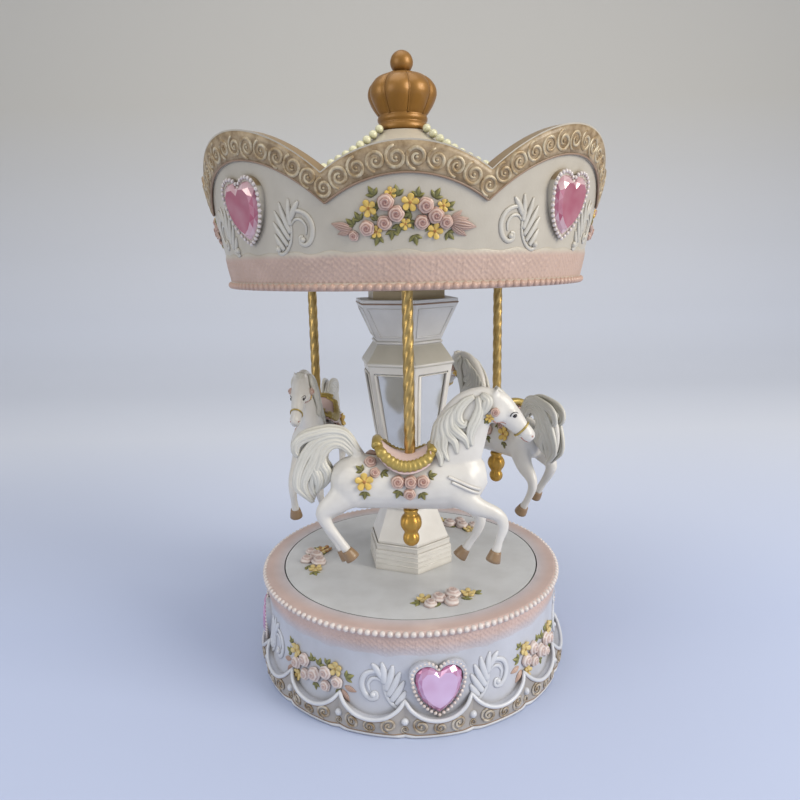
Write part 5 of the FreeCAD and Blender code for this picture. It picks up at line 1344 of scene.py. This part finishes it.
for k, azimuth in enumerate(horse_azimuths):
    at = Matrix.Translation(around(0.001 * pole_circle, azimuth, 0.001 * belly_z))
    at = at @ Matrix.Rotation(radians(azimuth + horse_yaws[k]), 4, "Z")
    tag = "_%d" % (k + 1)
    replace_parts(piece("jumper" + tag, horse_mesh, "carousel", at), "horse" + tag)
    piece("jumper_hair" + tag, hair_mesh, "carousel", at)
    piece("jumper_tack" + tag, tack_mesh, "carousel", at)
    piece("jumper_marks" + tag, marks_mesh, "carousel", at)
    piece("jumper_garland" + tag, garland_mesh, "carousel", at)


# Stage: a pale paper sweep under the box, in soft daylight from a window at the right.
# The camera stands where the photograph was taken.
# Matt paper: bluish in the shade near the box, paler further back, warm grey where it rises.
paper, tree, shader, place = begin("pale_grey_paper_sweep")
sheet_cloud_mm = 333
cloud = add(tree, "TexNoise", {"Vector": place, "Scale": 1000 / sheet_cloud_mm, "Detail": 2.0})
spot = add(tree, "SeparateXYZ", {0: place}).node.outputs
back = add(tree, "Math", {"operation": "MULTIPLY_ADD", 0: cloud, 1: 0.06, 2: spot["Y"]})
far = add(tree, "MapRange", {0: back, 1: 0.04, 2: 0.36})
high = add(tree, "MapRange", {0: spot["Z"], 1: 0.05, 2: 0.4})
sheet = add(tree, "Mix", {"data_type": "RGBA", 0: far, 6: linear("#b6c1dc"), 7: linear("#d5dae5")}, 2)
sheet = add(tree, "Mix", {"data_type": "RGBA", 0: high, 6: sheet, 7: linear("#ccc9c1")}, 2)
settle(shader, {"Base Color": sheet, "Roughness": 0.9})
sweep = [(-2.2, 0.0), (0.55, 0.0), (0.68, 0.015), (0.8, 0.07), (0.88, 0.17), (0.92, 0.3), (0.93, 1.6)]
floor_mesh = bpy.data.meshes.new("paper_sweep")
floor_mesh.from_pydata([(x, y, z) for y, z in sweep for x in (-2.0, 2.0)], [],
                       [(2 * k, 2 * k + 1, 2 * k + 3, 2 * k + 2) for k in range(len(sweep) - 1)])
floor_mesh.polygons.foreach_set("use_smooth", [True] * len(floor_mesh.polygons))
floor_mesh.materials.append(paper)
floor = show("paper_sweep", floor_mesh)

lamp_aim = Vector((0, 0, 0.1))
world = bpy.data.worlds.new("soft_room")
bpy.context.scene.world = world
world.use_nodes = True
settle(world.node_tree.nodes["Background"], {"Color": linear("#dfe3ec"), "Strength": 0.6})
for name, at, size, power, colour in (("window", (0.7, -0.42, 0.45), 0.5, 6.6, "#fdf6ea"),
                                      ("ceiling", (-0.1, -0.1, 0.95), 0.8, 3.2, "#fbf8f4"),
                                      ("room", (-0.75, -0.55, 0.35), 0.6, 2.6, "#f7f2e8")):
    lamp = bpy.data.lights.new(name, "AREA")
    lamp.size = size
    lamp.energy = power
    lamp.color = linear(colour)[:3]
    shown = show(name, lamp)
    shown.location = at
    shown.rotation_euler = (lamp_aim - Vector(at)).to_track_quat("-Z", "Y").to_euler()

sensor_mm, focal_px, photo_px = 36.0, 676.8, 800
camera_at, camera_down, camera_roll = (-0.00275, -0.2437, 0.1474), 11.61, -1.14
eye = bpy.data.cameras.new("photo_view")
eye.sensor_width = sensor_mm
eye.lens = sensor_mm * focal_px / photo_px
camera = show("photo_view", eye)
camera.matrix_world = (Matrix.Translation(camera_at)
                       @ Matrix.Rotation(radians(90 - camera_down), 4, "X")
                       @ Matrix.Rotation(radians(camera_roll), 4, "Z"))
bpy.context.scene.camera = camera
bpy.context.scene.view_settings.view_transform = "Standard"
